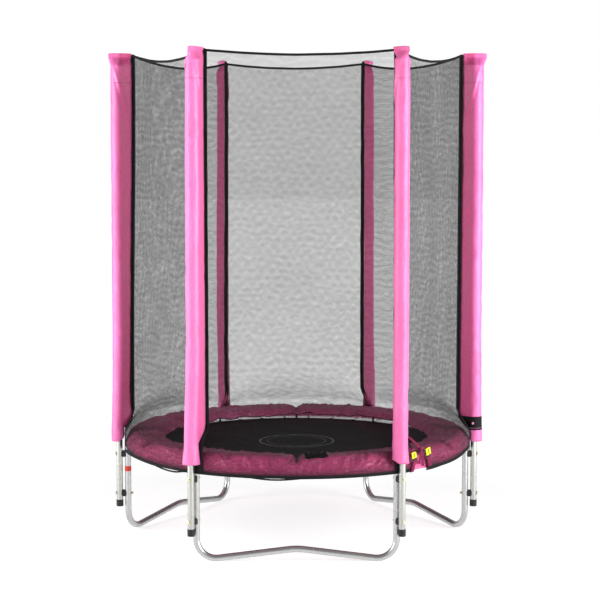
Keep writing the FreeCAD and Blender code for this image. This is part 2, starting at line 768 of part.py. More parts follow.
def buckles():
    """Two side-release buckles that hold the door's lower corners down."""
    stands = {
        side: buckle_stand(value(f"buckle_{side}_bearing"), value(f"buckle_{side}_level"))
        for side in ("left", "right")
    }
    case = block("receiver_case", ("0", "-12", "-12"), ("8.4", "12", "14"))
    slot = block("receiver_slot", ("1.9", "-9.3", "-13"), ("6.5", "9.3", "9"))
    copies("buckle_receivers", cut("receiver_master", case, slot), stands.values())
    plug = fuse("plug_master", [
        block("plug_tongue", ("2.1", "-8.9", "-14"), ("6.3", "8.9", "7.5")),
        block("plug_heel", ("1.2", "-11", "-20.5"), ("7.2", "11", "-12.6")),
    ])
    tail = block("tail_master", ("3.4", "-8", "-58"), ("5", "8", "-20.9"))
    anchor = block("anchor_master", ("3.4", "-8", "14.4"), ("5", "8", "30"))
    copies("buckle_anchor_straps", anchor, stands.values())
    for side, stand in stands.items():
        copies(f"buckle_plug_{side}", plug, [stand])
        copies(f"buckle_tail_{side}", tail, [stand])


# ---- jumping surface -------------------------------------------------------------------------

def jump_mat():
    cloth = cylinder("jump_mat", "mat_radius", "mat_cloth", ("0", "0", "mat_level - mat_cloth"))
    cloth.Label = "jump_mat"


def mat_webbing():
    """Edge webbing on the mat with one folded tab for each V-ring."""
    body = new_body("mat_webbing")
    band = sketch_on(body, "XY_Plane", lift="mat_level + 0.05")
    add_circle(band, "0", "0", "mat_radius")
    add_circle(band, "0", "0", "mat_radius - 35")
    pad(body, band, "web_level - mat_level")
    tab = sketch_on(body, "XZ_Plane")
    add_outline(tab, (
        ("mat_radius - 5", "web_level"),
        ("mat_radius - 5", "mat_level + 0.1"),
        ("mat_radius + 0.5", "mat_level + 0.1"),
        ("mat_radius + 0.5", "mat_level - 5"),
        ("v_ring_bar + 4", "mat_level - 5"),
        ("v_ring_bar + 4", "web_level"),
    ))
    folded = pad(body, tab, "10", Midplane=True)
    eye = sketch_on(body, "XZ_Plane")
    add_circle(eye, "v_ring_bar", "mat_level - 1.5", "1.8")
    bored = pocket(body, eye, "12", Midplane=True)
    polar_pattern(body, [folded, bored], SPRINGS, 360)
    place(body, str(SPRING_PITCH / 2))


def rod(start, end, radius):
    """A round wire between two points with rounded ends."""
    run = end - start
    return [
        Part.makeCylinder(radius, run.Length, start, run),
        Part.makeSphere(radius, start),
        Part.makeSphere(radius, end),
    ]


def wire_feature(name, points, radius):
    """A bent wire made of straight runs with rounded corners."""
    runs = []
    for start, end in zip(points, points[1:]):
        runs += rod(start, end, radius)
    item = doc.addObject("Part::Feature", name)
    item.Shape = runs[0].multiFuse(runs[1:])
    return item


def spring_bearings():
    return [SPRING_PITCH * (index + 0.5) for index in range(SPRINGS)]


def v_rings():
    """Triangular wire rings between the webbing tabs and the springs."""
    level = value("mat_level - 1.5")
    bar, apex = value("v_ring_bar"), value("v_ring_apex")
    corners = [Vector(bar, -11, level), Vector(bar, 11, level), Vector(apex, 0, level)]
    master = wire_feature("v_ring_master", corners + corners[:1], 1.25)
    copies("v_rings", master, [at(bearing) for bearing in spring_bearings()])


def springs():
    """Coil springs as the tube that their coils fill, with a wire hook at each end."""
    level = value("mat_level + 1.5")
    inner, outer = value("coil_inner"), value("coil_outer")
    wire = 1.0
    coil = Part.makeCylinder(value("coil_radius"), outer - inner, Vector(inner, 0, level), Vector(1, 0, 0))
    hollow = Part.makeCylinder(
        value("coil_radius - 2"), outer - inner - 4, Vector(inner + 2, 0, level), Vector(1, 0, 0)
    )
    inner_eye = value("v_ring_apex - hook_back")
    crown = value("ring_level + tube_radius + 1.6")
    hook = value("hook_radius")
    reach = [Vector(inner + 1, 0, level), Vector(inner_eye, 0, level), Vector(inner_eye, 0, level - 6)]
    grip = [
        Vector(outer - 1, 0, level),
        Vector(hook - 9, 0, crown),
        Vector(hook, 0, crown),
        Vector(hook, 0, crown - 8),
    ]
    wires = []
    for path in (reach, grip):
        for start, end in zip(path, path[1:]):
            wires += rod(start, end, wire)
    item = doc.addObject("Part::Feature", "spring_master")
    item.Shape = coil.cut(hollow).multiFuse(wires)
    copies("springs", item, [at(bearing) for bearing in spring_bearings()])


# ---- frame pad -------------------------------------------------------------------------------

def pad_outline(inset):
    """Half section of the pad from its inner edge over the crest to its rim."""
    return (
        (f"pad_inner + {inset}", "pad_base"),
        (f"pad_inner + {inset}", f"pad_crest - 27 - {inset}"),
        (f"pad_inner + 14 + {inset} / 2", f"pad_crest - 10 - {inset}"),
        ("pad_inner + 67", f"pad_crest - {inset}"),
        ("pad_inner + 120", f"pad_crest - {inset}"),
        (f"pad_outer - 11 - {inset}", f"pad_crest - 12 - {inset}"),
        (f"pad_outer - {inset}", f"pad_crest - 26 - {inset}"),
    )


def pad_foam():
    """Twelve foam segments that lie on the springs and the ring."""
    outline = list(pad_outline("1.6")) + [("pad_outer - 1.6", "pad_base")]
    arc = 360 / TIES
    master = revolved_body("foam_segment_master", outline, arc - 0.4, Midplane=True)
    copies("pad_foam", master, [at(arc * index) for index in range(TIES)])


def pad_cover():
    """Sewn cover over the foam, open below, with a skirt down past the ring."""
    skin = list(pad_outline("0")) + [("pad_outer", "skirt_bottom"), ("pad_inner + 60", "skirt_bottom")]
    body = revolved_body("pad_cover", skin)
    hollow = sketch_on(body, "XZ_Plane")
    inside = list(pad_outline("pad_cloth"))
    inside[0] = ("pad_inner + pad_cloth", "skirt_bottom - 30")
    inside.append(("pad_outer - pad_cloth", "skirt_bottom - 30"))
    add_outline(hollow, inside)
    groove(body, hollow)


def pad_ties():
    """Short elastic loops that hold the pad to the ring."""
    loop = tube("tie_loop", "tube_radius + 0.9", "tube_radius + 0.1", "-5", "5")
    loop.Placement = FreeCAD.Placement(
        Vector(value("ring_radius"), 0, value("ring_level")), FreeCAD.Rotation(Vector(1, 0, 0), 90)
    )
    copies("pad_ties", loop, [at(360 / TIES * index) for index in range(TIES)])


# ---- build and export ------------------------------------------------------------------------

for side, bearing in SECTIONS.items():
    ring_section(f"ring_section_{side}", str(bearing))
    w_leg(f"leg_{side}", str(bearing))
for side, bearing in POLES.items():
    pole_lower(f"pole_lower_{side}", bearing)
    pole_upper(f"pole_upper_{side}", bearing)
    pole_sleeve(f"sleeve_{side}", bearing)
marker_band()
pole_caps()
pole_bolts()
pole_spacers()
pole_foam()
sleeve_band()
net_panels()
edge_tapes()
top_cord()
hem_cord()
buckles()
jump_mat()
mat_webbing()
v_rings()
springs()
pad_foam()
pad_cover()
pad_ties()
doc.recompute()

NODES = (
    [f"ring_section_{side}" for side in SECTIONS]
    + [f"leg_{side}" for side in SECTIONS]
    + [f"pole_lower_{side}" for side in POLES]
    + [f"pole_upper_{side}" for side in POLES]
    + [f"sleeve_{side}" for side in POLES]
    + ["pole_bottom_caps", "pole_top_caps", "pole_bolts", "pole_washers", "pole_nuts"]
    + ["pole_spacers", "pole_foam", "sleeve_band", "marker_band"]
    + ["net_panel_front", "net_panel_right", "net_panel_left", "net_panel_rear"]
    + ["net_panel_front_left", "net_door_surround", "net_door_flap"]
    + ["net_edge_tapes", "net_top_cord", "net_hem_cord"]
    + ["zip_tape_post", "zip_tape_flap", "zip_slider"]
    + ["buckle_receivers", "buckle_anchor_straps", "buckle_plug_left", "buckle_plug_right"]
    + ["buckle_tail_left", "buckle_tail_right"]
    + ["jump_mat", "mat_webbing", "v_rings", "springs", "pad_foam", "pad_cover", "pad_ties"]
)

for item in doc.Objects:
    if {"Invalid", "Error"} & set(item.State):
        raise RuntimeError(f"{item.Name} is not sound: {item.State}")

os.makedirs("parts", exist_ok=True)
for node in NODES:
    item = doc.getObject(node)
    shape = item.Shape
    if shape.isNull() or not shape.isValid() or not shape.Solids:
        raise RuntimeError(f"{node} has no valid solid")
    shape.exportStep(f"parts/{node}.step")
print(len(NODES), "nodes written")
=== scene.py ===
"""Looks of the enclosed trampoline: coated fabric, net, mat, springs and galvanised tube.

Metres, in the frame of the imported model: +Z up, the front faces -Y, bearing 0 degrees is +X.
"""
import math

import bpy
import numpy as np
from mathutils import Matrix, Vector, noise


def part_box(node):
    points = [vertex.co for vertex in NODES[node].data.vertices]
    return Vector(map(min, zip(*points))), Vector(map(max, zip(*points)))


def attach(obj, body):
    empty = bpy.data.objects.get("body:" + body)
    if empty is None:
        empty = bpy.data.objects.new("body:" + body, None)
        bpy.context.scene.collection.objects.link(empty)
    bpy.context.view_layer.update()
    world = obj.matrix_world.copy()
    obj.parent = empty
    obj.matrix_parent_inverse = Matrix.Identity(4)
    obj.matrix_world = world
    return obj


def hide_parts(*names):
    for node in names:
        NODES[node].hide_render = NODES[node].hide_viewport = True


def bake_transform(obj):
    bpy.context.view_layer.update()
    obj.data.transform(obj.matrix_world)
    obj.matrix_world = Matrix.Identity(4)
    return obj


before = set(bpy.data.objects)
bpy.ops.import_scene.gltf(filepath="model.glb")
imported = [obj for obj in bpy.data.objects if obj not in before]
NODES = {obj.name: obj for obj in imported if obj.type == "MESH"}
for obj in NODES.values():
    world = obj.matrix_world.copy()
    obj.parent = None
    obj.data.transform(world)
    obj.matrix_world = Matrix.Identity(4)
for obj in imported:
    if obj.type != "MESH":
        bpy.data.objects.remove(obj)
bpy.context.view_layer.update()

SIDES = ("front_left", "front_right", "right", "rear_right", "rear_left", "left")


def centre_of(node):
    low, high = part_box(node)
    return (low + high) / 2


def bearing_of(point):
    return math.degrees(math.atan2(point.y, point.x))


def polar(radius, bearing, level=0.0):
    turn = math.radians(bearing)
    return Vector((radius * math.cos(turn), radius * math.sin(turn), level))


def smooth(share):
    share = min(1.0, max(0.0, share))
    return share * share * (3 - 2 * share)


def mix(start, end, share):
    return start + (end - start) * share


def spread(start, end, count):
    return [mix(start, end, index / (count - 1)) for index in range(count)]


def bell(distance, width):
    return math.exp(-(distance / width) ** 2)


def wave(size, x, y=0.0, z=0.0):
    """A smooth irregular value of about a size either way."""
    return noise.noise(Vector((x, y, z))) * size


def between(turn, bearing):
    """Angle from a bearing to a turn, within half a circle either way."""
    return (turn - bearing + 180) % 360 - 180


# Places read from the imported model
POLES = {side: centre_of(f"pole_lower_{side}") for side in SIDES}
BEARINGS = {side: bearing_of(spot) for side, spot in POLES.items()}
POLE_RADIUS = POLES["right"].xy.length
MAT_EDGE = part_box("jump_mat")[1].x
MAT_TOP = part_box("jump_mat")[1].z
PAD_LOW, PAD_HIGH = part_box("pad_cover")
PAD_RIM = PAD_HIGH.x
PAD_WIDTH = 0.168
PAD_INNER = PAD_RIM - PAD_WIDTH
SLEEVE_LOW, SLEEVE_TOP = (corner.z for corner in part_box("sleeve_right"))
DOOR_LOW, DOOR_HIGH = (corner.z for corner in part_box("net_door_flap"))

# The net: radius of its upright seams and of its foot on the pad's rim, and its lowest and
# highest levels. Its seams flare out to the rim between the two flare levels
NET_CORNER = 0.652
NET_FOOT = PAD_RIM + 0.0018
NET_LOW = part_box("net_panel_front")[0].z + 0.0065
CORD_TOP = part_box("net_top_cord")[1].z - 0.002
CORD_RADIUS, HEM_CORD_RADIUS = 0.0048, 0.0033
FLARE_LOW, FLARE_HIGH = 0.412, 0.500
SLACK_FLARE_LOW, SLACK_FLARE_HIGH = 0.436, 0.585
LEFT_POLE_PULL = 186

# The sleeves: radius of the barrel, reach of the fin and of the top seam's outer end from the
# pole's axis, where the pressed top starts and how far below it the stitched line runs
BARREL = 0.0290
FIN_TIP = 0.060
SEAM_OUTER = 0.050
FOLD_START = 0.052
STITCH_DROP = 0.118
LEFT_STITCH = 1.522

# How far each loose sleeve and net seam has settled sideways from its pole, in x:
# the sleeve's foot, its middle, its top, and the seam low down and at its top
SETTLED = {
    "front_left": (0.0020, 0.0105, 0.0130, 0.0185, 0.0170),
    "front_right": (-0.0085, -0.0070, -0.0075, 0.0160, 0.0120),
    "right": (0.0010, -0.0005, -0.0010, 0.0015, 0.0035),
    "rear_right": (0, -0.0070, -0.0110, -0.0030, -0.0030),
    "rear_left": (0, -0.0040, 0, -0.0200, -0.0150),
    "left": (-0.0015, 0.0030, 0.0040, -0.0120, 0.0010),
}
# What differs from sleeve to sleeve: barrel radius, a wider or higher foot, a slanting hem, and the
# outer and inner ends of the pressed top
BARRELS = {"rear_left": 0.0262, "rear_right": 0.0262, "front_left": 0.0278, "left": 0.0275}
FOOT_WIDER = {"front_left": 0.0060}
FOOT_HIGHER = {"front_right": 0.0100, "front_left": 0.0055}
HEM_TILT = {"left": 0.020, "front_right": -0.014}
TOP_CORNERS = {
    "left": (0.035, 0),
    "right": (0.040, 0),
    "front_left": (0.040, 0.008),
    "front_right": (0.050, -0.004),
}
TOP_TIPS = {"front_right": Vector((0, -0.018))}


def flare(level, slack=0.0):
    """How far the net has flared out to the pad's rim (1) at a height; slack is 1 midway."""
    start = mix(FLARE_LOW, SLACK_FLARE_LOW, min(1.0, slack * 3))
    rise = (level - start) / (mix(FLARE_HIGH, SLACK_FLARE_HIGH, slack) - start)
    return (1 - min(1.0, max(0.0, rise))) ** 2


def hem_lift(turn):
    """How much higher the net's hem and the pad's skirt sit beside the right and left poles."""
    return 0.0185 * bell(between(turn, -12), 15) + 0.007 * bell(between(turn, 205), 15)


def rim_pull(turn):
    """How far the pad's cloth and the net's foot are drawn in beside the left pole."""
    return 0.0055 * bell(between(turn, LEFT_POLE_PULL), 17)


def barrel_shift(side, level):
    """Where the middle of a sleeve sits, measured from its pole, at a height."""
    foot, middle, top = SETTLED[side][:3]
    shift = mix(foot, middle, smooth((level - 0.42) / 0.40))
    return Vector((mix(shift, top, smooth((level - 0.95) / 0.95)), 0, 0))


def seam_point(side, level, radius=NET_CORNER):
    """A point of a net seam at a height, before the net flares out to the pad's rim."""
    rise = smooth((level - FLARE_LOW) / 0.12)
    shift = mix(SETTLED[side][3], SETTLED[side][4], smooth((level - 0.60) / 1.20))
    return polar(radius, BEARINGS[side], level) + Vector((shift * rise, 0, 0))


def rim_point(turn, level, radius=NET_FOOT):
    """A point of the pad's outer rim, drawn in where the cloth is."""
    return polar(radius - rim_pull(turn), turn, level)


# ---- mesh building ---------------------------------------------------------------------------

def mesh_piece(name, part, material, body=None, uvs=None, instead=(), thick=None, slotted=True):
    """A smooth mesh object from points and faces, with its material.

    It rides on a body, stands in for CAD nodes, and a piece made as a sheet gets a thickness."""
    points, faces = part
    mesh = bpy.data.meshes.new(name)
    mesh.from_pydata([tuple(point) for point in points], [], faces)
    mesh.update()
    if uvs is not None:
        layer = mesh.uv_layers.new(name="cloth")
        corners = np.zeros(len(mesh.loops), np.int32)
        mesh.loops.foreach_get("vertex_index", corners)
        layer.data.foreach_set("uv", np.asarray(uvs, np.float32)[corners].ravel())
    mesh.polygons.foreach_set("use_smooth", [True] * len(mesh.polygons))
    piece = bpy.data.objects.new(name, mesh)
    bpy.context.scene.collection.objects.link(piece)
    mesh.materials.append(material)
    if body:
        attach(piece, body)
    if slotted:
        look = material.name.split(".")[0]
        SHARED_SLOTS.get(look, look)
    if instead:
        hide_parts(*instead)
    if thick:
        piece.modifiers.new("cloth", "SOLIDIFY").thickness = thick
    return piece


def grid_faces(rows, columns, closed=False, offset=0, looped=False):
    """Quads between rows of points; closed joins the last column to the first, looped the rows."""
    faces = []
    last = columns if closed else columns - 1
    for row in range(rows if looped else rows - 1):
        low, high = offset + row * columns, offset + (row + 1) % rows * columns
        for column in range(last):
            following = (column + 1) % columns
            faces.append((low + column, low + following, high + following, high + column))
    return faces


def swept(path, radius, sides=8, closed=False):
    """Points and faces of a round wire along a path, with a steady frame and capped ends."""
    count = len(path)
    points = []
    up = Vector((0, 0, 1))
    for index, spot in enumerate(path):
        before = path[index - 1] if closed or index else path[0]
        after = path[(index + 1) % count] if closed or index < count - 1 else path[-1]
        along = (after - before).normalized()
        if abs(along.dot(up)) > 0.95:
            up = Vector((along.y, along.z, along.x))
        across = along.cross(up).normalized()
        up = across.cross(along).normalized()
        for side in range(sides):
            turn = 2 * math.pi * side / sides
            points.append(spot + (across * math.cos(turn) + up * math.sin(turn)) * radius)
    faces = grid_faces(count, sides, closed=True, looped=closed)
    if not closed:
        faces.append(tuple(range(sides))[::-1])
        faces.append(tuple((count - 1) * sides + side for side in range(sides)))
    return points, faces


def joined(parts):
    """Several point and face lists as one."""
    points, faces = [], []
    for part_points, part_faces in parts:
        offset = len(points)
        points += list(part_points)
        faces += [tuple(index + offset for index in face) for face in part_faces]
    return points, faces


def rounded_box(size, bevel, steps=3):
    """Points and faces of a box with rounded edges, centred on the origin."""
    mesh = bpy.data.meshes.new("box")
    half = [length / 2 for length in size]
    points = [
        (x * half[0], y * half[1], z * half[2]) for x in (-1, 1) for y in (-1, 1) for z in (-1, 1)
    ]
    faces = [(0, 1, 3, 2), (4, 6, 7, 5), (0, 4, 5, 1), (2, 3, 7, 6), (0, 2, 6, 4), (1, 5, 7, 3)]
    mesh.from_pydata(points, [], faces)
    holder = bpy.data.objects.new("box", mesh)
    bpy.context.scene.collection.objects.link(holder)
    rounding = holder.modifiers.new("rounding", "BEVEL")
    rounding.width = bevel
    rounding.segments = steps
    done = holder.evaluated_get(bpy.context.evaluated_depsgraph_get()).to_mesh()
    result = [vertex.co.copy() for vertex in done.vertices], [tuple(p.vertices) for p in done.polygons]
    holder.to_mesh_clear()
    bpy.data.objects.remove(holder)
    return result


def moved(part, place):
    """A point and face list carried by a function of a point."""
    points, faces = part
    return [place(point) for point in points], faces


def block(place, size, bevel, steps, *spot):
    """A rounded box whose centre is at a spot of a stand."""
    return moved(rounded_box(size, bevel, steps), lambda point: place(Vector(point) + Vector(spot)))


def smooth_path(corners, count):
    """Points of a round course through corners."""
    ends = [corners[0]] + list(corners) + [corners[-1]]
    spans = len(corners) - 1
    result = []
    for position in spread(0, spans, count):
        span = min(int(position), spans - 1)
        share = position - span
        a, b, c, d = (Vector(end) for end in ends[span:span + 4])
        result.append(
            0.5 * (2 * b + (c - a) * share + (2 * a - 5 * b + 4 * c - d) * share ** 2
                   + (3 * b - a - 3 * c + d) * share ** 3)
        )
    return result


# ---- materials -------------------------------------------------------------------------------

def srgb(red, green, blue):
    """Linear colour from the usual 0 to 255 values."""
    def channel(number):
        share = number / 255
        return share / 12.92 if share <= 0.04045 else ((share + 0.055) / 1.055) ** 2.4
    return (channel(red), channel(green), channel(blue), 1.0)


class Surface:
    """A node material under construction, with short ways to add and join nodes."""

    def __init__(self, name, rough=0.5, metal=0.0, **inputs):
        self.material = bpy.data.materials.new(name)
        self.material.use_nodes = True
        self.tree = self.material.node_tree
        self.shader = self.tree.nodes["Principled BSDF"]
        self.shader.inputs["Roughness"].default_value = rough
        self.shader.inputs["Metallic"].default_value = metal
        for key, setting in inputs.items():
            self.shader.inputs[key.replace("_", " ")].default_value = setting

    def add(self, kind, settings=None, **inputs):
        node = self.tree.nodes.new(kind)
        for key, setting in (settings or {}).items():
            setattr(node, key, setting)
        for key, source in inputs.items():
            self.feed(node.inputs[key.replace("_", " ")], source)
        return node

    def feed(self, socket, source):
        if isinstance(source, bpy.types.NodeSocket):
            self.tree.links.new(source, socket)
        else:
            socket.default_value = source

    def maths(self, operation, first, second=0.0, third=None):
        node = self.tree.nodes.new("ShaderNodeMath")
        node.operation = operation
        self.feed(node.inputs[0], first)
        self.feed(node.inputs[1], second)
        if third is not None:
            self.feed(node.inputs[2], third)
        return node.outputs[0]

    def gap(self, number, centre):
        """Distance of a value from a centre."""
        return self.maths("ABSOLUTE", self.maths("SUBTRACT", number, centre))

    def place(self, which="Object"):
        return self.add("ShaderNodeTexCoord").outputs[which]

    def split(self, which="Object"):
        """The separate coordinates of a place."""
        return self.parts(self.place(which))

    def parts(self, vector):
        node = self.add("ShaderNodeSeparateXYZ")
        self.feed(node.inputs[0], vector)
        return node.outputs

    def noise(self, scale, detail=4.0, vector=None, rough=0.5):
        node = self.add("ShaderNodeTexNoise", Scale=scale, Detail=detail, Roughness=rough)
        self.feed(node.inputs["Vector"], vector or self.place())
        return node.outputs["Fac"]

    def stretched(self, *scale, which="Object"):
        """Coordinates scaled along each axis."""
        node = self.add("ShaderNodeMapping")
        self.feed(node.inputs["Vector"], self.place(which))
        node.inputs["Scale"].default_value = scale
        return node.outputs["Vector"]

    def ramp(self, factor, *stops):
        node = self.add("ShaderNodeValToRGB")
        self.feed(node.inputs["Fac"], factor)
        ramp = node.color_ramp
        while len(ramp.elements) < len(stops):
            ramp.elements.new(0.5)
        for element, (position, colour) in zip(ramp.elements, stops):
            element.position = position
            element.color = colour if len(colour) == 4 else (*colour, 1)
        return node.outputs["Color"]

    def grey(self, factor, low, high, start=0.0, end=1.0):
        """Map a factor between start and end to a value between low and high."""
        node = self.add("ShaderNodeMapRange")
        keys = ("Value", "From Min", "From Max", "To Min", "To Max")
        for key, source in zip(keys, (factor, start, end, low, high)):
            self.feed(node.inputs[key], source)
        return node.outputs["Result"]

    def blend(self, factor, first, second, how="MIX"):
        node = self.add("ShaderNodeMix", {"data_type": "RGBA", "blend_type": how})
        self.feed(node.inputs[0], factor)
        self.feed(node.inputs[6], first)
        self.feed(node.inputs[7], second)
        return node.outputs[2]

    def bump(self, height, strength=0.3, distance=0.001, after=None):
        node = self.add("ShaderNodeBump")
        node.inputs["Strength"].default_value = strength
        node.inputs["Distance"].default_value = distance
        self.feed(node.inputs["Height"], height)
        if after is not None:
            self.feed(node.inputs["Normal"], after)
        return node.outputs["Normal"]

    def finish(self, **inputs):
        for key, source in inputs.items():
            self.feed(self.shader.inputs[key.replace("_", " ")], source)
        return self.material


def woven_height(surface, pitch, vector=None):
    """Height of a plain weave with the given thread pitch, from UVs or object coordinates."""
    place = surface.parts(vector or surface.place("UV"))
    across, along = (
        surface.maths("SINE", surface.maths("MULTIPLY", place[axis], math.pi / pitch)) for axis in (0, 1)
    )
    return surface.maths("MULTIPLY", across, along)


def coated_fabric(name, colour, shade, pitch=0.0016, unshaded_span=None):
    """PVC-coated woven polyester: soft sheen, cloth grain, slight scuffs and colour drift.

    Within the given span of U, a sleeve's barrel, the colour stays lit; outside it, on the fin, it is
    painted shade. Cloth given no span, the pad's, is creased, with painted highlights along its sharp
    creases and painted shade on its inner slope."""
    surface = Surface(name, rough=0.42, Specular_IOR_Level=0.62, Sheen_Weight=0.1)
    drift = surface.noise(5.0, 3.0)
    fine = surface.noise(160.0, 3.0)
    base = surface.blend(surface.grey(drift, 0.0, 0.45, 0.35, 0.7), colour, shade)
    if unshaded_span:
        uv = surface.split("UV")
        middle = (unshaded_span[0] + unshaded_span[1]) / 2
        reach = unshaded_span[1] - middle
        # Painted shade: outside the given span of U, on a sleeve's fin, the colour turns to the shade
        # colour.
        unshaded_barrel = surface.grey(surface.gap(uv[0], middle), 1.0, 0.0, reach * 0.80, reach * 1.12)
        base = surface.blend(unshaded_barrel, shade, base)
        sewn = surface.grey(surface.gap(uv[1], SLEEVE_TOP - STITCH_DROP), 0.75, 0.0, 0.0006, 0.0022)
        base = surface.blend(sewn, base, srgb(140, 44, 92))
    base = surface.blend(surface.grey(fine, 0.0, 0.10, 0.45, 0.75), base, srgb(250, 190, 222))
    rough = surface.grey(surface.noise(45.0, 5.0), 0.34, 0.50, 0.3, 0.7)
    grain = surface.bump(woven_height(surface, pitch), 0.18, 0.0004)
    creases = surface.bump(surface.noise(40.0, 6.0, rough=0.65), 0.5, 0.0022, after=grain)
    if not unshaded_span:
        folds = surface.noise(1.6, 3.5, surface.stretched(11.0, 30.0, 1.0, which="UV"), rough=0.5)
        sharp = surface.grey(surface.gap(folds, 0.5), 1.0, 0.0, 0.0, 0.045)
        creases = surface.bump(sharp, 0.6, 0.0035, after=creases)
        # Painted shade: a darker, greyer colour on the pad's inner slope.
        inner = surface.grey(surface.split("UV")[1], 0.48, 0.0, 0.136, 0.165)
        base = surface.blend(inner, base, srgb(122, 68, 94))
        # Painted highlights: a pale colour along the sharp creases, in patches.
        wear_and_highlight_patches = surface.grey(surface.noise(5.0, 2.0), 0.0, 0.75, 0.46, 0.62)
        base = surface.blend(surface.maths("MULTIPLY", sharp, wear_and_highlight_patches), base, srgb(236, 132, 184))
    return surface.finish(Base_Color=base, Roughness=rough, Normal=creases)


def galvanised(name, spangle, tint=(0.80, 0.81, 0.80)):
    """Zinc-coated steel tube with crystal spangle, faint drawing lines and dull patches."""
    surface = Surface(name, rough=0.34, metal=0.85)
    cells = surface.add("ShaderNodeTexVoronoi", Scale=150.0, Vector=surface.place())
    patch = surface.noise(9.0, 4.0)
    lines = surface.noise(60.0, 2.0, surface.stretched(6.0, 6.0, 0.15))
    bright = (*tint, 1)
    dull = tuple(channel * 0.80 for channel in tint) + (1,)
    crystal = surface.blend(surface.grey(cells.outputs["Color"], 0.0, spangle), bright, dull)
    base = surface.blend(surface.grey(patch, 0.0, 0.35, 0.45, 0.75), crystal, srgb(186, 187, 178))
    rough = surface.maths("ADD", surface.grey(patch, 0.16, 0.32), surface.grey(lines, 0.0, 0.08))
    fine = surface.bump(lines, 0.08, 0.0004)
    return surface.finish(Base_Color=base, Roughness=rough, Normal=fine)


def knitted_net():
    """Black knitted mesh: threads around small holes, closer where the net is gathered low down."""
    surface = Surface("black_net", rough=0.8, Specular_IOR_Level=0.12)
    uv = surface.split("UV")
    pitch = 0.0052
    sway = surface.maths("MULTIPLY", surface.noise(14.0, 3.0, surface.place("UV")), 0.006)
    across = surface.maths("ADD", uv[0], sway)
    along = surface.maths("MULTIPLY", uv[1], 0.62)
    threads = []
    for operation in ("ADD", "SUBTRACT"):
        lean = surface.maths(operation, across, along)
        turn = surface.maths("MULTIPLY", lean, math.pi / pitch)
        threads.append(surface.maths("ABSOLUTE", surface.maths("SINE", turn)))
    thread = surface.grey(surface.maths("MINIMUM", *threads), 1.0, 0.0, 0.12, 0.52)
    crumple = surface.noise(85.0, 5.0, surface.stretched(1.0, 1.0, 1.6), rough=0.65)
    ripple = surface.add(
        "ShaderNodeTexWave", {"bands_direction": "Z"},
        Scale=11.0, Distortion=9.0, Detail=3.0, Detail_Scale=1.2, Vector=surface.place(),
    )
    cover = surface.grey(thread, 0.14, 0.66)
    for part in (
        surface.grey(surface.noise(3.0, 2.0), -0.02, 0.02, 0.3, 0.7),
        surface.grey(crumple, -0.040, 0.040, 0.3, 0.7),
        surface.grey(ripple.outputs["Fac"], -0.030, 0.030),
        surface.grey(surface.split()[2], 0.30, 0.0, 0.345, 0.375),
    ):
        cover = surface.maths("ADD", cover, part)
    incoming = surface.add("ShaderNodeNewGeometry").outputs
    facing = surface.add("ShaderNodeVectorMath", {"operation": "DOT_PRODUCT"})
    surface.feed(facing.inputs[0], incoming["Incoming"])
    surface.feed(facing.inputs[1], incoming["Normal"])
    slant = surface.maths("MAXIMUM", surface.maths("ABSOLUTE", facing.outputs["Value"]), 0.25)
    holes = surface.maths("SUBTRACT", 1.0, surface.maths("MINIMUM", cover, 0.97))
    open_share = surface.maths("POWER", holes, surface.maths("DIVIDE", 1.0, slant))
    base = surface.blend(thread, srgb(30, 30, 32), srgb(15, 15, 17))
    return surface.finish(Base_Color=base, Alpha=surface.maths("SUBTRACT", 1.0, open_share))


def webbing(name, colour, pitch=0.0022, lighter=None):
    """Woven narrow fabric with ribs and slight fading."""
    surface = Surface(name, rough=0.75, Specular_IOR_Level=0.2)
    ribs = surface.add("ShaderNodeTexWave", {"bands_direction": "DIAGONAL"}, Scale=1 / pitch / 6)
    surface.feed(ribs.inputs["Vector"], surface.place())
    drift = surface.noise(30.0, 5.0)
    pale = lighter or tuple(min(1.0, channel * 2.2) for channel in colour[:3]) + (1,)
    base = surface.blend(surface.grey(drift, 0.0, 0.5, 0.35, 0.75), colour, pale)
    lumps = surface.bump(ribs.outputs["Fac"], 0.4, 0.0005)
    return surface.finish(Base_Color=base, Normal=surface.bump(drift, 0.3, 0.001, after=lumps))


def moulded(name, colour, rough=0.45, scale=320.0):
    """Moulded plastic with a fine spark-eroded grain and paler rubbed patches."""
    surface = Surface(name, rough=rough, Specular_IOR_Level=0.35)
    grain = surface.noise(scale, 3.0)
    wear = surface.noise(24.0, 5.0)
    pale = tuple(min(1.0, channel * 1.35 + 0.01) for channel in colour[:3]) + (1,)
    base = surface.blend(surface.grey(wear, 0.0, 0.6, 0.5, 0.8), colour, pale)
    rough_out = surface.grey(wear, rough - 0.08, rough + 0.1)
    return surface.finish(Base_Color=base, Roughness=rough_out, Normal=surface.bump(grain, 0.12, 0.0003))


def zinc_plate(name, tint):
    """Plated fastener steel with uneven passivation."""
    surface = Surface(name, rough=0.3, metal=1.0)
    patch = surface.noise(90.0, 5.0)
    base = surface.blend(patch, tint, srgb(190, 196, 188))
    return surface.finish(Base_Color=base, Roughness=surface.grey(patch, 0.2, 0.45))


def foam_skin():
    """Closed-cell foam with a pitted skin."""
    surface = Surface("grey_foam", rough=0.85)
    cells = surface.add("ShaderNodeTexVoronoi", Scale=420.0, Vector=surface.place())
    base = surface.blend(surface.noise(12.0, 4.0), srgb(196, 196, 198), srgb(170, 171, 174))
    return surface.finish(Base_Color=base, Normal=surface.bump(cells.outputs["Distance"], 0.5, 0.0008))


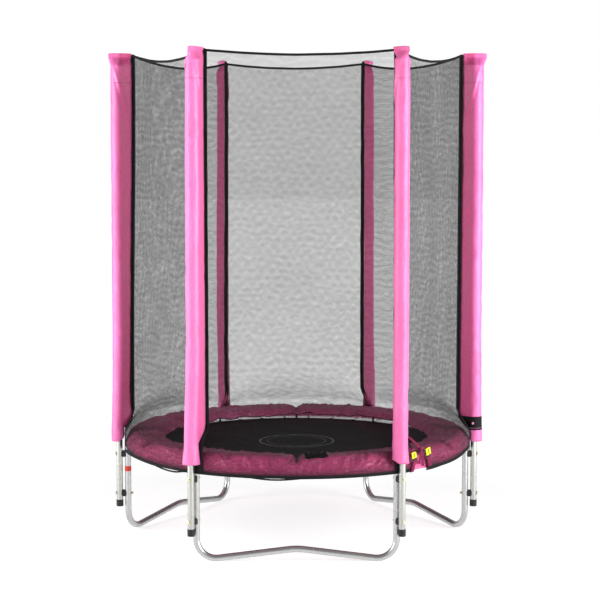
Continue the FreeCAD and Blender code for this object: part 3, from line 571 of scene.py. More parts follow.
def mat_cloth():
    """Tight woven polypropylene with two worn printed rings."""
    surface = Surface("black_mat", rough=0.62, Specular_IOR_Level=0.18)
    weave = woven_height(surface, 0.0017, surface.place())
    drift = surface.noise(3.5, 4.0)
    base = surface.blend(surface.grey(drift, 0.0, 1.0, 0.35, 0.7), srgb(38, 37, 36), srgb(31, 30, 31))
    base = surface.blend(surface.grey(weave, 0.0, 0.35, -1, 1), base, srgb(50, 49, 48))
    flat = surface.add("ShaderNodeVectorMath", {"operation": "MULTIPLY"})
    surface.feed(flat.inputs[0], surface.place())
    flat.inputs[1].default_value = (1, 1, 0)
    length = surface.add("ShaderNodeVectorMath", {"operation": "LENGTH"})
    surface.feed(length.inputs[0], flat.outputs[0])
    lines = [
        surface.maths("LESS_THAN", surface.gap(length.outputs["Value"], radius), half_width)
        for radius, half_width in ((0.150, 0.004), (0.118, 0.0018))
    ]
    wear = surface.grey(surface.noise(70.0, 5.0), 0.35, 0.85, 0.35, 0.6)
    wear_and_highlight_patches = surface.maths("MULTIPLY", surface.maths("MAXIMUM", *lines), wear)
    base = surface.blend(wear_and_highlight_patches, base, srgb(178, 178, 176))
    return surface.finish(Base_Color=base, Normal=surface.bump(weave, 0.25, 0.0004))


# Span of U of a sleeve's barrel; outside it, on the fin, the sleeve cloth carries painted shade.
UNSHADED_BARREL_SPAN = (0.052, 0.255)
PINK = coated_fabric("pink_pvc_sleeve", srgb(234, 110, 178), srgb(200, 68, 126), unshaded_span=UNSHADED_BARREL_SPAN)
SLEEVE_CLOTH = {
    # Painted light: the front left sleeve's copy has a lighter painted shade on its fin.
    "front_left": coated_fabric(
        "pink_pvc_sleeve_lighter_fin_shade", srgb(234, 110, 178), srgb(222, 94, 154), unshaded_span=UNSHADED_BARREL_SPAN
    ),
    # Painted shade: the front right sleeve's copy is darker all over.
    "front_right": coated_fabric(
        "pink_pvc_sleeve_painted_shade", srgb(224, 98, 162), srgb(208, 78, 136), unshaded_span=UNSHADED_BARREL_SPAN
    ),
}
PAD_PINK = coated_fabric("pink_pvc_pad", srgb(226, 77, 139), srgb(212, 67, 125))
NET = knitted_net()
BLACK_TAPE = webbing("black_webbing", srgb(16, 15, 17), lighter=srgb(30, 29, 32))
MAT = mat_cloth()
MAT_WEB = webbing("mat_webbing", srgb(30, 30, 31), lighter=srgb(52, 52, 54))
FOAM = foam_skin()
RING_ZINC = galvanised("galvanised_ring", 0.9, (0.52, 0.53, 0.53))
LEG_ZINC = galvanised("galvanised_leg", 0.25, (0.50, 0.51, 0.51))
POLE_ZINC = galvanised("galvanised_pole", 0.35, (0.48, 0.485, 0.455))
BLACK_PLASTIC = moulded("black_plastic", srgb(26, 26, 27), 0.5)
YELLOW_ZINC = zinc_plate("zinc_hardware", srgb(214, 200, 140))
SPRING_STEEL = zinc_plate("spring_steel", srgb(200, 202, 204))
RED_TAPE = moulded("red_tape", srgb(196, 48, 32), 0.4)
YELLOW = moulded("yellow_buckle", srgb(226, 232, 20), 0.32)
BLACK_BUCKLE = moulded("black_buckle", srgb(24, 24, 25), 0.42)
# Pink strap webbing, its colour darkened into painted shade.
SHADED_PINK_STRAP = webbing("pink_strap", srgb(108, 20, 56), lighter=srgb(160, 54, 100))
ZIP_TAPE = webbing("zip_tape", srgb(20, 20, 22), lighter=srgb(38, 38, 40))
ZIP_METAL = moulded("zip_metal", srgb(30, 30, 32), 0.35)
PALE_MARK = webbing("pale_mark", srgb(200, 120, 160), lighter=srgb(220, 190, 205))

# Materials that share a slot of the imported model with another; the rest are named as their slots
SHARED_SLOTS = {
    "pink_pvc_sleeve_lighter_fin_shade": "pink_pvc_sleeve",
    "pink_pvc_sleeve_painted_shade": "pink_pvc_sleeve",
    "pale_mark": "pink_strap",
}


def paint(node, material, rounding=None):
    """Give a carried-over CAD node its material and, if asked, rounded edges."""
    piece = NODES[node]
    piece.data.materials.clear()
    piece.data.materials.append(material)
    piece.data.polygons.foreach_set("use_smooth", [True] * len(piece.data.polygons))
    if rounding:
        bevel = piece.modifiers.new("rounding", "BEVEL")
        bevel.width = rounding
        bevel.segments = 2
        bevel.limit_method = "ANGLE"
        bevel.angle_limit = math.radians(40)
    edges = piece.modifiers.new("edges", "EDGE_SPLIT")
    edges.split_angle = math.radians(35)


def paint_frame():
    """Metal and moulded nodes that are shown as the CAD has them."""
    for side in ("front", "right", "left"):
        paint(f"ring_section_{side}", RING_ZINC)
        paint(f"leg_{side}", LEG_ZINC)
    for side in SIDES:
        paint(f"pole_lower_{side}", POLE_ZINC)
        paint(f"pole_upper_{side}", POLE_ZINC)
    for node in ("pole_bottom_caps", "pole_top_caps"):
        paint(node, BLACK_PLASTIC, 0.0008)
    paint("pole_spacers", BLACK_PLASTIC, 0.0012)
    for node in ("pole_bolts", "pole_washers", "pole_nuts"):
        paint(node, YELLOW_ZINC)
    paint("marker_band", RED_TAPE)
    paint("v_rings", SPRING_STEEL)
    paint("pad_ties", MAT_WEB)


# ---- pole sleeves ----------------------------------------------------------------------------

ARC_POINTS, FIN_POINTS = 44, 7
LOOP_STEP = 0.0052
SLEEVE_ROWS, TOP_ROWS, TOP_LENGTH = 260, 41, 0.06
CLOTH_THICKNESS = 0.0012


def sleeve_loop(side, level):
    """Cross-section of a sleeve around its own middle: x outwards, y sideways, from fin to fin."""
    bearing = BEARINGS[side]
    away = seam_point(side, level, POLE_RADIUS - FIN_TIP) - polar(POLE_RADIUS, bearing, level)
    away -= barrel_shift(side, level)
    tip = Vector((away.dot(polar(1, bearing)), away.dot(polar(1, bearing + 90))))
    barrel = BARRELS.get(side, BARREL) + FOOT_WIDER.get(side, 0.0034) * smooth((0.47 - level) / 0.10)
    tip *= min(1.0, max(0.1, net_line(side, level) / net_line(side, FLARE_HIGH)))
    if tip.length < barrel * 1.04:
        tip *= barrel * 1.04 / tip.length
    facing = math.atan2(tip.y, tip.x) % (2 * math.pi)
    tangent = math.acos(barrel / tip.length)
    start, end = facing - tangent, facing + tangent - 2 * math.pi
    edge = Vector((-tip.y, tip.x)).normalized() * CLOTH_THICKNESS
    touch = Vector((barrel * math.cos(start), barrel * math.sin(start)))
    leave = Vector((barrel * math.cos(end), barrel * math.sin(end)))
    loop = [(tip - edge).lerp(touch, index / FIN_POINTS) for index in range(FIN_POINTS)]
    for index in range(ARC_POINTS + 1):
        turn = mix(start, end, index / ARC_POINTS)
        loop.append(Vector((barrel * math.cos(turn), barrel * math.sin(turn))))
    loop += [leave.lerp(tip + edge, index / FIN_POINTS) for index in range(1, FIN_POINTS + 1)]
    return loop


def flat_loop(loop, corner, tip_shift):
    """The same fabric pressed flat between the fin's tip and an outer corner, for the sewn top."""
    lengths = [0.0]
    for before, after in zip(loop, loop[1:]):
        lengths.append(lengths[-1] + (after - before).length)
    whole = lengths[-1]
    tip = (loop[0] + loop[-1]) / 2 + tip_shift
    result = []
    for length in lengths:
        share = length / whole
        run = 2 * share if share <= 0.5 else 2 * (1 - share)
        result.append(tip.lerp(corner, run) + Vector((0, 0.0011 if share <= 0.5 else -0.0011)))
    return result


def net_line(side, level):
    """How far in from the pole axis a sleeve can reach beside the flaring net."""
    out = polar(1, BEARINGS[side])
    corner = seam_point(side, level).xy.dot(out.xy)
    rim = NET_FOOT - rim_pull(BEARINGS[side] % 360)
    return mix(corner, rim, flare(level)) + 0.0030 - POLE_RADIUS


def wrinkle(point, level, seed, side):
    """Folds of the loose coated cloth: long soft pulls, sharper dents and sewn-in puckers."""
    where = Vector((point.x * 9 + seed * 7.3, point.y * 9, level * 5.5 + seed))
    long_folds = noise.noise(where) * 0.0019
    dents = noise.noise(where * 3.1 + Vector((3, 5, 7)))
    sharp = -max(0.0, abs(dents) - 0.20) * 0.0042
    outer = smooth((point.x + 0.012) / 0.010)
    lines = [SLEEVE_TOP - STITCH_DROP] + ([LEFT_STITCH] if side == "left" else [])
    pucker = sum(bell(level - line, 0.0028) * -0.0012 * outer for line in lines)
    low_folds = smooth((0.52 - level) / 0.12) * noise.noise(where * 1.7) * 0.0026
    diagonal = 0.0
    top = SLEEVE_TOP - 0.030
    run = (top - level) / (top - 1.640)
    if 0 < run < 1.25:
        across = (point.x - mix(0.028, -0.046, run ** 0.75)) * 0.9
        along = smooth(run * 6) * (1 - smooth((run - 0.8) / 0.45))
        width = 0.0055
        diagonal = 0.0026 * (bell(across, width) - 0.7 * bell(across - width * 1.6, width * 1.2)) * along
    gather = smooth((level - (SLEEVE_TOP - 0.075)) / 0.04)
    pulls = wave(0.0024, point.x * 55, seed * 3.1, level * 9 + point.x * 40) * gather
    return long_folds + sharp + pucker + low_folds + diagonal + pulls


def sleeve_points(side, seed, level, low, high, inside=False):
    """Points of one ring of a sleeve, folded flat towards its sewn top."""
    bearing = BEARINGS[side]
    loop = sleeve_loop(side, level)
    fold = smooth((level - (high - FOLD_START)) / (FOLD_START - 0.013))
    corner = Vector(TOP_CORNERS.get(side, (SEAM_OUTER, 0)))
    pressed = flat_loop(loop, corner, TOP_TIPS.get(side, Vector((0, 0))))
    middle = polar(POLE_RADIUS, bearing) + barrel_shift(side, level)
    tilt = HEM_TILT.get(side, 0.0)
    points = []
    for spot, flat_spot in zip(loop, pressed):
        outward = spot.normalized() if spot.length > 1e-6 else Vector((1, 0))
        puff = wrinkle(spot, level, seed, side) * (1 - fold)
        spot = (spot + outward * (puff - (CLOTH_THICKNESS if inside else 0.0))).lerp(flat_spot, fold)
        if fold > 0.02:
            spot.y += wave(0.0040, spot.x * 42, seed, level * 22) * fold * (1.15 - fold) * 3
        spot.y += math.copysign(0.0013 * smooth((level - (high - 0.0115)) / 0.002), flat_spot.y)
        droop = 0.004 * smooth(abs(spot.x) / 0.06) ** 2 * fold
        rise = level - droop * (1 if spot.x > 0 else 0.3)
        place = middle + polar(spot.x, bearing) + polar(spot.y, bearing + 90)
        lean = (place.x - middle.x) / BARREL * math.copysign(1, tilt)
        rise += abs(tilt) * smooth(lean) * smooth((low + 0.10 - level) / 0.10)
        inward = (place - polar(POLE_RADIUS, bearing)).dot(polar(1, bearing))
        place += polar(max(0.0, net_line(side, level) - inward), bearing)
        points.append(Vector((place.x, place.y, min(rise, high))))
    return points


def sleeve(side, seed):
    """One pole sleeve: barrel over the foam, fin to the net, pressed and sewn top, turned hem."""
    low, high = SLEEVE_LOW + 0.002 + FOOT_HIGHER.get(side, 0.0), SLEEVE_TOP - 0.001
    hem = [low + 0.030, low + 0.012, low + 0.001]
    levels = hem + [mix(low, high - TOP_LENGTH, row / SLEEVE_ROWS) for row in range(SLEEVE_ROWS)]
    levels += spread(high - TOP_LENGTH, high, TOP_ROWS)
    points, uvs = [], []
    for row, level in enumerate(levels):
        ring = sleeve_points(side, seed, level, low, high, row < len(hem))
        points += ring
        uvs += [(column * LOOP_STEP, level) for column in range(len(ring))]
    columns = len(ring)
    faces = grid_faces(len(levels), columns, closed=True)
    top = (len(levels) - 1) * columns
    faces += [
        (top + index, top + index + 1, top + columns - 2 - index, top + columns - 1 - index)
        for index in range(columns // 2 - 1)
    ]
    cloth = SLEEVE_CLOTH.get(side, PINK)
    mesh_piece(f"pvc_sleeve_{side}", (points, faces), cloth, "frame", uvs, [f"sleeve_{side}"])


def pole_foams():
    """Foam tubes inside the sleeves, seen only from below."""
    parts = []
    sides, bore = 28, 0.0136
    for side in SIDES:
        bearing = BEARINGS[side]
        points = []
        start = SLEEVE_LOW + 0.012 + FOOT_HIGHER.get(side, 0.0)
        levels = [start + 0.0164 * row for row in range(86)]
        for radius, rows in ((BARRELS.get(side, BARREL) - 0.0050, levels), (bore, levels[::-1])):
            for level in rows:
                shift = barrel_shift(side, level) if radius > bore else Vector()
                for turn in (2 * math.pi * index / sides for index in range(sides)):
                    lump = radius + wave(0.0004, math.cos(turn), math.sin(turn), level * 30)
                    spot = polar(lump, math.degrees(turn) + bearing) + shift
                    along = spot.dot(polar(1, bearing))
                    spot += polar(max(along, net_line(side, level) + 0.002) - along, bearing)
                    points.append(polar(POLE_RADIUS, bearing, level) + spot)
        parts.append((points, grid_faces(2 * len(levels), sides, closed=True, looped=True)))
    mesh_piece("pole_foam_tubes", joined(parts), FOAM, "frame", instead=["pole_foam"])


# ---- frame pad -------------------------------------------------------------------------------

PAD_SEAMS = 6
PAD_COLUMNS, PAD_ROWS = 720, 46
PAD_MIDDLE, PAD_ROW_STEP = 0.62, 0.0055
PUFF_LIMIT, PUFF_STEPS = 0.011, 18
HELD_EDGE_ROWS = 5
SKIRT_LOW, SKIRT_HIGH = 0.3445, 0.3745
LIP = 0.3785

# Half section of the pad: radius and height, from under its inner edge over the crest to the hem
PAD_SECTION = (
    (PAD_INNER + 0.0012, LIP),
    (PAD_INNER + 0.0005, 0.3865),
    (PAD_INNER + 0.0120, 0.3965),
    (PAD_INNER + 0.0450, 0.4015),
    (PAD_INNER + 0.0900, 0.4055),
    (PAD_INNER + 0.1250, 0.4060),
    (PAD_RIM - 0.0150, 0.4000),
    (PAD_RIM - 0.0030, 0.3860),
    (PAD_RIM - 0.0012, 0.3650),
    (PAD_RIM - 0.0008, SKIRT_LOW),
)
PAD_UNDERSIDE = (
    (PAD_RIM - 0.0019, SKIRT_LOW),
    (PAD_RIM - 0.0019, SKIRT_HIGH),
    (PAD_RIM - 0.014, 0.3765),
    (PAD_RIM - 0.060, 0.3770),
    (PAD_INNER + 0.060, 0.3772),
    (PAD_INNER + 0.004, 0.3778),
)


def pad_turn(column):
    return 360 * column / PAD_COLUMNS - 90


def drawn_in(turn, radius):
    """How far the cloth at a radius is drawn in beside the left pole."""
    return rim_pull(turn) * smooth((radius - PAD_INNER) / 0.16)


def pad_points():
    """The pad's skin before it is puffed, and how firmly each point is held by a sewn join."""
    columns, rows = PAD_COLUMNS, PAD_ROWS
    curve = smooth_path(PAD_SECTION, rows)
    points = np.zeros((columns, rows, 3))
    seam_weight = np.zeros((columns, rows))
    for column in range(columns):
        turn = pad_turn(column)
        offset = (turn + 90) % (360 / PAD_SEAMS)
        offset = min(offset, 360 / PAD_SEAMS - offset)
        pinch, gather = bell(offset, 1.1), bell(offset, 5.0)
        lifted = mix(0.0115, 0.0050, smooth((turn - 88) / 20)) * smooth(math.sin(math.radians(turn)))
        lifted += 0.005 * bell(turn - 54, 13)
        seam_weight[column] = pinch
        for row, spot in enumerate(curve):
            share = row / (rows - 1)
            body = math.sin(math.pi * min(1.0, share * 1.15)) ** 0.5 if share < 0.87 else 0.0
            creases = wave(0.0045, turn * 0.55, share * 2.2, 3.3)
            creases += wave(0.0018, turn * 1.7, share * 5.0, 9.1)
            lift = creases * (0.45 + 0.9 * gather) - pinch * 0.0095 * body
            inner_wave = (1 - smooth(share / 0.25)) * wave(0.015, turn * 0.16, 0, 5)
            inner_wave += (1 - smooth(share / 0.30)) * lifted
            rim_wave = smooth((share - 0.86) / 0.14) * wave(0.005, turn * 0.16, 2)
            skirt = hem_lift(turn) * smooth((0.405 - spot.y) / 0.05) if share > 0.5 else 0.0
            height = spot.y + lift * body + max(0, inner_wave) + rim_wave + skirt
            radius = spot.x + (1 - smooth(share / 0.2)) * wave(0.003, turn * 0.12, 7)
            radius = min(radius, PAD_RIM - 0.0006) - drawn_in(turn, radius)
            points[column, row] = polar(radius, turn, height)
    return points, seam_weight


def puff_pad(points, seam_weight):
    """Cloth simulation of the pad's skin: held at its edges and seams, swollen by the foam."""
    columns, rows = PAD_COLUMNS, PAD_ROWS
    mesh = bpy.data.meshes.new("pad_cloth")
    faces = grid_faces(columns, rows, looped=True)
    mesh.from_pydata([tuple(point) for point in points.reshape(-1, 3)], [], faces)
    cloth_object = bpy.data.objects.new("pad_cloth", mesh)
    scene = bpy.context.scene
    scene.collection.objects.link(cloth_object)
    held = cloth_object.vertex_groups.new(name="held")
    for column in range(columns):
        for row in range(rows):
            edge = row <= 1 or row >= rows - HELD_EDGE_ROWS
            if edge or seam_weight[column, row] > 0.75:
                held.add([column * rows + row], 1.0 if edge else 0.9, "REPLACE")
    cloth = cloth_object.modifiers.new("cloth", "CLOTH")
    for key, setting in (
        ("quality", 4), ("mass", 0.25), ("tension_stiffness", 12), ("compression_stiffness", 8),
        ("shear_stiffness", 4), ("bending_stiffness", 0.12), ("shrink_min", -0.055), ("shrink_max", -0.055),
        ("vertex_group_mass", "held"), ("use_pressure", True), ("uniform_pressure_force", 3.2),
    ):
        setattr(cloth.settings, key, setting)
    cloth.settings.effector_weights.gravity = 0.0
    cloth.collision_settings.use_collision = False
    cloth.point_cache.frame_start = 1
    cloth.point_cache.frame_end = 30
    for step in range(1, PUFF_STEPS + 1):
        scene.frame_set(step)
    done = cloth_object.evaluated_get(bpy.context.evaluated_depsgraph_get())
    swollen = np.zeros(columns * rows * 3)
    done.data.vertices.foreach_get("co", swollen)
    scene.frame_set(1)
    bpy.data.objects.remove(cloth_object)
    move = swollen.reshape(columns, rows, 3) - points
    length = np.linalg.norm(move, axis=2, keepdims=True)
    return points + move * np.minimum(1.0, PUFF_LIMIT / np.maximum(length, 1e-9))


def crease_pad(points):
    """Add ridged folds and fine puckers to the skin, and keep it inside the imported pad."""
    for column in range(PAD_COLUMNS):
        turn = pad_turn(column)
        for row in range(4, PAD_ROWS - 4):
            share = row / (PAD_ROWS - 1)
            where = Vector((turn * 0.30 + share * 2.0, share * 1.9 - turn * 0.05, 6.1))
            fold = 1 - min(1.0, abs(noise.noise(where)) / 0.12)
            pucker = 1 - min(1.0, abs(noise.noise(where * 2.7 + Vector((4, 0, 0)))) / 0.16)
            height = 0.0056 * fold ** 1.5 + 0.0026 * pucker ** 1.5
            rim = smooth((share - 0.55) / 0.2)
            points[column, row] += polar(height * rim * 0.5, turn, height * (1 - 0.7 * rim))
    radius = np.linalg.norm(points[:, :, :2], axis=2)
    points[:, :, :2] *= np.minimum(1.0, (PAD_RIM + 0.0008) / radius)[:, :, None]
    points[:, :, 2] = np.clip(points[:, :, 2], PAD_LOW.z + 0.0005, PAD_HIGH.z + 0.004)


def frame_pad():
    """The padded ring: puffed skin with six sewn joins, turned hem and a flat underside."""
    points, seam_weight = pad_points()
    points = puff_pad(points, seam_weight)
    crease_pad(points)
    skin, uvs, inner_edge = [], [], []
    for column in range(PAD_COLUMNS):
        turn = pad_turn(column)
        along = math.radians(turn) * PAD_MIDDLE
        skin += [Vector(point) for point in points[column]]
        uvs += [(along, row * PAD_ROW_STEP) for row in range(PAD_ROWS)]
        lift = max(0, points[column, 0, 2] - LIP)
        for index, (radius, level) in enumerate(PAD_UNDERSIDE):
            if index == 0:
                level = points[column, -1, 2]
            raised = lift * index / (len(PAD_UNDERSIDE) - 1)
            skin.append(polar(radius - drawn_in(turn, radius), turn, level + raised))
            uvs.append((along, 0.3 + index * 0.03))
        spot = Vector(points[column, 0])
        inner_edge.append(polar(spot.xy.length + 0.0006, bearing_of(spot), spot.z + 0.0006))
    total = PAD_ROWS + len(PAD_UNDERSIDE)
    faces = []
    for column in range(PAD_COLUMNS):
        here, there = column * total, (column + 1) % PAD_COLUMNS * total
        for row in range(total):
            after = (row + 1) % total
            faces.append((here + row, there + row, there + after, here + after))
    mesh_piece("pad_pvc_cover", (skin, faces), PAD_PINK, "frame", uvs, ["pad_cover", "pad_foam"])
    # A thin black tube along the pad's inner edge, which draws a dark line there.
    mesh_piece("pad_inner_dark_line", swept(inner_edge, 0.0019, closed=True), BLACK_TAPE, "frame")
    pad_patch(points)


PATCH_TURNS, PATCH_ROWS = (2.8, 10.2), (17, 29)


def pad_patch(points):
    """Blank dark patch sewn on the pad's crest beside the front join."""
    per_degree = PAD_COLUMNS / 360
    start, end = (round(turn * per_degree) for turn in PATCH_TURNS)
    columns, rows = range(start, end + 1), range(*PATCH_ROWS)
    patch = []
    for row in rows:
        for column in columns:
            spot = Vector(points[column, row])
            patch.append(spot - polar(0.0012, bearing_of(spot)) + Vector((0, 0, 0.0020)))
    part = patch, grid_faces(len(rows), len(columns))
    mesh_piece("pad_blank_patch", part, BLACK_TAPE, "frame", thick=0.0012)


# ---- mat, webbing and springs ----------------------------------------------------------------

SPRINGS = 36

def jump_mat():
    """The woven mat, sagging slightly, drawn towards each spring at its edge."""
    columns, rows = 216, 40
    points = []
    for share in spread(0, 1, rows):
        edge = smooth((share - 0.86) / 0.14)
        for column in range(columns):
            turn = math.radians(360 * column / columns)
            pull = math.cos(turn * SPRINGS + math.pi)
            radius = (MAT_EDGE - 0.001) * share + 0.0012 * (pull - 1) * edge
            sag = -0.0012 * (1 - share ** 2)
            ripple = wave(0.0008, math.cos(turn) * share * 3, math.sin(turn) * share * 3)
            level = MAT_TOP - 0.0006 + sag + ripple * (1 - share)
            points.append(polar(radius, math.degrees(turn), level))
    faces = grid_faces(rows, columns, closed=True)
    offset = len(points)
    faces += [tuple(offset + index for index in face[::-1]) for face in faces]
    rim = (rows - 1) * columns
    for column in range(columns):
        here, there = rim + column, rim + (column + 1) % columns
        faces.append((here, offset + here, offset + there, there))
    points += [point - Vector((0, 0, 0.0018)) for point in points]
    mesh_piece("jump_mat_cloth", (points, faces), MAT, "mat", instead=["jump_mat"])


def mat_webbing():
    """Webbing sewn round the mat's edge, with a folded tab around each V-ring bar."""
    inner, outer = MAT_EDGE - 0.036, MAT_EDGE - 0.0005
    profile = [
        (inner, 0.0002), (inner + 0.001, 0.0016), (inner + 0.004, 0.0021), ((inner + outer) / 2, 0.0017),
        (outer - 0.004, 0.0021), (outer - 0.001, 0.0016), (outer, 0.0002),
    ]
    columns = 288
    band = []
    for column in range(columns):
        turn = 360 * column / columns
        for radius, height in profile:
            height += wave(0.0003, turn * 0.4, radius * 40, 1)
            band.append(polar(radius, turn, MAT_TOP + height))
    parts = [(band, grid_faces(columns, len(profile), looped=True))]
    bar, level = MAT_EDGE + 0.0065, MAT_TOP - 0.0015
    stations = [(MAT_EDGE - 0.030, MAT_TOP + 0.0024), (MAT_EDGE - 0.004, MAT_TOP + 0.0024)]
    for angle in (math.radians(100 - 200 * step / 8) for step in range(9)):
        stations.append((bar + 0.0024 * math.cos(angle), level + 0.0036 * math.sin(angle)))
    stations.append((MAT_EDGE + 0.001, MAT_TOP - 0.0042))
    for index in range(SPRINGS):
        turn = (index + 0.5) * 360 / SPRINGS
        strip = [
            polar(radius, turn, height) + polar(side, turn + 90)
            for radius, height in stations for side in (-0.0050, 0.0050)
        ]
        parts.append((strip, grid_faces(len(stations), 2)))
    mesh_piece("mat_edge_webbing", joined(parts), MAT_WEB, "mat", instead=["mat_webbing"], thick=0.0006)


def spring_path(bearing):
    """Centre line of one spring's wire: inner hook, close coils, outer hook into the ring."""
    level, crown = MAT_TOP + 0.0015, 0.3722
    eye, hook = MAT_EDGE + 0.0234, MAT_EDGE + 0.102
    coil_in, coil_out = MAT_EDGE + 0.037, MAT_EDGE + 0.083
    turns, steps = 15, 10
    path = [
        polar(eye + out, bearing, level + up)
        for out, up in ((0, -0.006), (0, -0.002), (0.0015, 0.0008), (0.005, 0))
    ]
    across, up = polar(0.0056, bearing + 90), Vector((0, 0, 0.0056))
    for index in range(turns * steps + 1):
        share = index / (turns * steps)
        angle = 2 * math.pi * index / steps
        grow = smooth(min(share, 1 - share) * 12)
        spot = polar(mix(coil_in, coil_out, share), bearing, level)
        path.append(spot + (across * math.cos(angle) + up * math.sin(angle)) * grow)
    path += [
        polar(hook + out, bearing, height)
        for out, height in (
            (-0.010, mix(level, crown, 0.6)), (-0.006, crown), (-0.001, crown),
            (0, crown - 0.002), (0, crown - 0.008),
        )
    ]
    return path


def springs():
    """The springs in groups of three, each group one piece."""
    pitch = 360 / SPRINGS
    for group in range(SPRINGS // 3):
        middle = (3 * group + 1.5) * pitch
        part = joined([swept(spring_path(middle + offset), 0.0010, 6) for offset in (-pitch, 0, pitch)])
        piece = mesh_piece(f"spring_trio_{group + 1:02d}", part, SPRING_STEEL)
        start, end = (polar(radius, middle, MAT_TOP) for radius in (0.664, 0.606))
        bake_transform(piece)
        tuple(start)
        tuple(end)
        if group == 0:
            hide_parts("springs")


# ---- net -------------------------------------------------------------------------------------

# Bearings between which the hem's cord is parted at the door, the share of the door panel where its
# foot parts, how high up and how wide; how much the binding's wings widen low down at the front
DOOR_GAP = (-51.9, -45.2)
PARTING, PARTING_TOP, PARTED = 0.150, 0.418, 0.031
TAPE_REACH, WING_REACH, TAPE_ROWS = 0.0125, 0.010, 150
FRONT_WINGS = {"front_left": 5.0, "left": 9.0, "right": 7.0}
SEAM_GAP = 0.0014
ZIP_POST, DOOR_SEAM = 0.045, 0.012


def cord_dip(share, depth):
    """How far the upper cord hangs below its corners, share running from pole to pole."""
    return depth * (1 - (2 * share - 1) ** 2) + wave(0.0012, share * 9, depth * 90)


PANELS = {
    "front": ("front_left", "front_right", 0.018),
    "door": ("front_right", "right", 0.032),
    "right": ("right", "rear_right", 0.034),
    "rear": ("rear_right", "rear_left", 0.020),
    "left": ("rear_left", "left", 0.034),
    "front_left": ("left", "front_left", 0.032),
}


def net_spot(panel, share, level_share):
    """A point of a net panel: share runs between its poles, level_share from hem to cord."""
    start, end, depth = PANELS[panel]
    left, right = BEARINGS[start], BEARINGS[end]
    right += 360 if right < left else 0
    top = CORD_TOP - cord_dip(share, depth)
    top -= 0.006 * mix(start.startswith("rear"), end.startswith("rear"), share)
    turn = mix(left, right, share)
    level = mix(NET_LOW, top, level_share) + hem_lift(turn) * (1 - smooth(level_share / 0.06))
    trim = math.degrees(SEAM_GAP / 0.7)
    on_rim = rim_point(mix(left + trim, right - trim, share), level)
    first = seam_point(start, level) + polar(SEAM_GAP, left + 90)
    last = seam_point(end, level) - polar(SEAM_GAP, right + 90)
    slack = 4 * share * (1 - share)
    sway = wave(0.006, share * 5 + left, level * 2.2, 1.7) * slack
    near_seam = math.exp(-share / 0.10) + math.exp(-(1 - share) / 0.10)
    pulls = wave(0.004, share * 8, level * 26 + share * 60, left) * near_seam * min(1.0, slack * 5)
    on_chord = first.lerp(last, share) + polar(1, (left + right) / 2) * (sway + pulls)
    spot = on_chord.lerp(on_rim, flare(level, slack))
    ruffle = wave(0.0015, turn * 0.9, 0, 4) * (1 - smooth((level - 0.36) / 0.12))
    spot += polar(abs(ruffle) * 0.4, turn)
    spot.z = level
    return spot


def panel_width(panel):
    """Straight distance between the two seams of a panel."""
    start, end, _ = PANELS[panel]
    return 2 * NET_CORNER * math.sin(math.radians(abs(between(BEARINGS[end], BEARINGS[start])) / 2))


def net_sheet(name, panel, shares, level_shares, body, **more):
    """A stretch of a net panel as one sheet, with UVs in metres.

    shares is a list from seam to seam, or a function that gives one for each level."""
    points, uvs = [], []
    width = panel_width(panel)
    for level_share in level_shares:
        row = shares(level_share) if callable(shares) else shares
        for share in row:
            spot = net_spot(panel, share, level_share)
            points.append(spot)
            uvs.append((share * width, spot.z))
    faces = grid_faces(len(level_shares), len(row))
    return mesh_piece(name, (points, faces), NET, body, uvs, **more)


def level_share_of(level):
    return (level - NET_LOW) / (CORD_TOP - 0.016 - NET_LOW)


def net_levels(low=0.0, high=1.0):
    """Level shares that are closer together in the flare."""
    shares = spread(0, 0.19, 26) + spread(0.2, 1.0, 70)
    return [low] + [share for share in shares if low < share < high] + [high]


def parted_row(level_share, left_side):
    """Shares across one side of the door's foot, which hangs parted below the door."""
    width = panel_width("door")
    level = net_spot("door", PARTING, level_share).z
    apart = PARTED * smooth((PARTING_TOP - level) / (PARTING_TOP - NET_LOW)) ** 0.8 / width
    if left_side:
        return spread(ZIP_POST / width, PARTING - apart, 25)
    return spread(PARTING + apart, 1, 25)


def door_halves():
    """The flap's two lengths: name, lower and upper level, and where bending starts and ends."""
    middle = (DOOR_LOW + DOOR_HIGH) / 2
    return (("low", DOOR_LOW, middle, DOOR_LOW, 1.10), ("high", middle, DOOR_HIGH, DOOR_HIGH, 1.20))


def swing(piece, fixed_level, free_level):
    """Carry a piece of the door's placement into its mesh; the two levels are not used."""
    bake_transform(piece)


def net_panels():
    """Five plain panels and the door panel with its slit beside the front right pole."""
    for panel in ("front", "right", "rear", "left", "front_left"):
        whole = spread(0, 1, 49)
        net_sheet(f"net_{panel}", panel, whole, net_levels(), "frame", instead=[f"net_panel_{panel}"])
    width = panel_width("door")
    slit, seam = ZIP_POST / width, 1 - DOOR_SEAM / width
    low, high = level_share_of(DOOR_LOW), level_share_of(DOOR_HIGH)
    door_zip(slit, width)
    post = spread(0, slit, 7)
    net_sheet("net_door_post", "door", post, net_levels(), "frame", instead=["net_door_surround"])
    net_sheet("net_door_head", "door", spread(slit, 1, 45), net_levels(high, 1), "frame")
    for name in ("left", "right"):
        net_sheet(
            f"net_door_foot_{name}", "door", lambda share: parted_row(share, name == "left"),
            net_levels(0, low), "frame",
        )
    net_sheet("net_door_edge", "door", spread(seam, 1, 3), net_levels(low, high), "frame")
    for name, bottom, top, fixed_level, free_level in door_halves():
        levels = net_levels(level_share_of(bottom), level_share_of(top))
        flap = net_sheet(f"net_door_flap_{name}", "door", spread(slit, seam, 43), levels, None)
        swing(flap, fixed_level, free_level)
        if name == "low":
            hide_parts("net_door_flap")


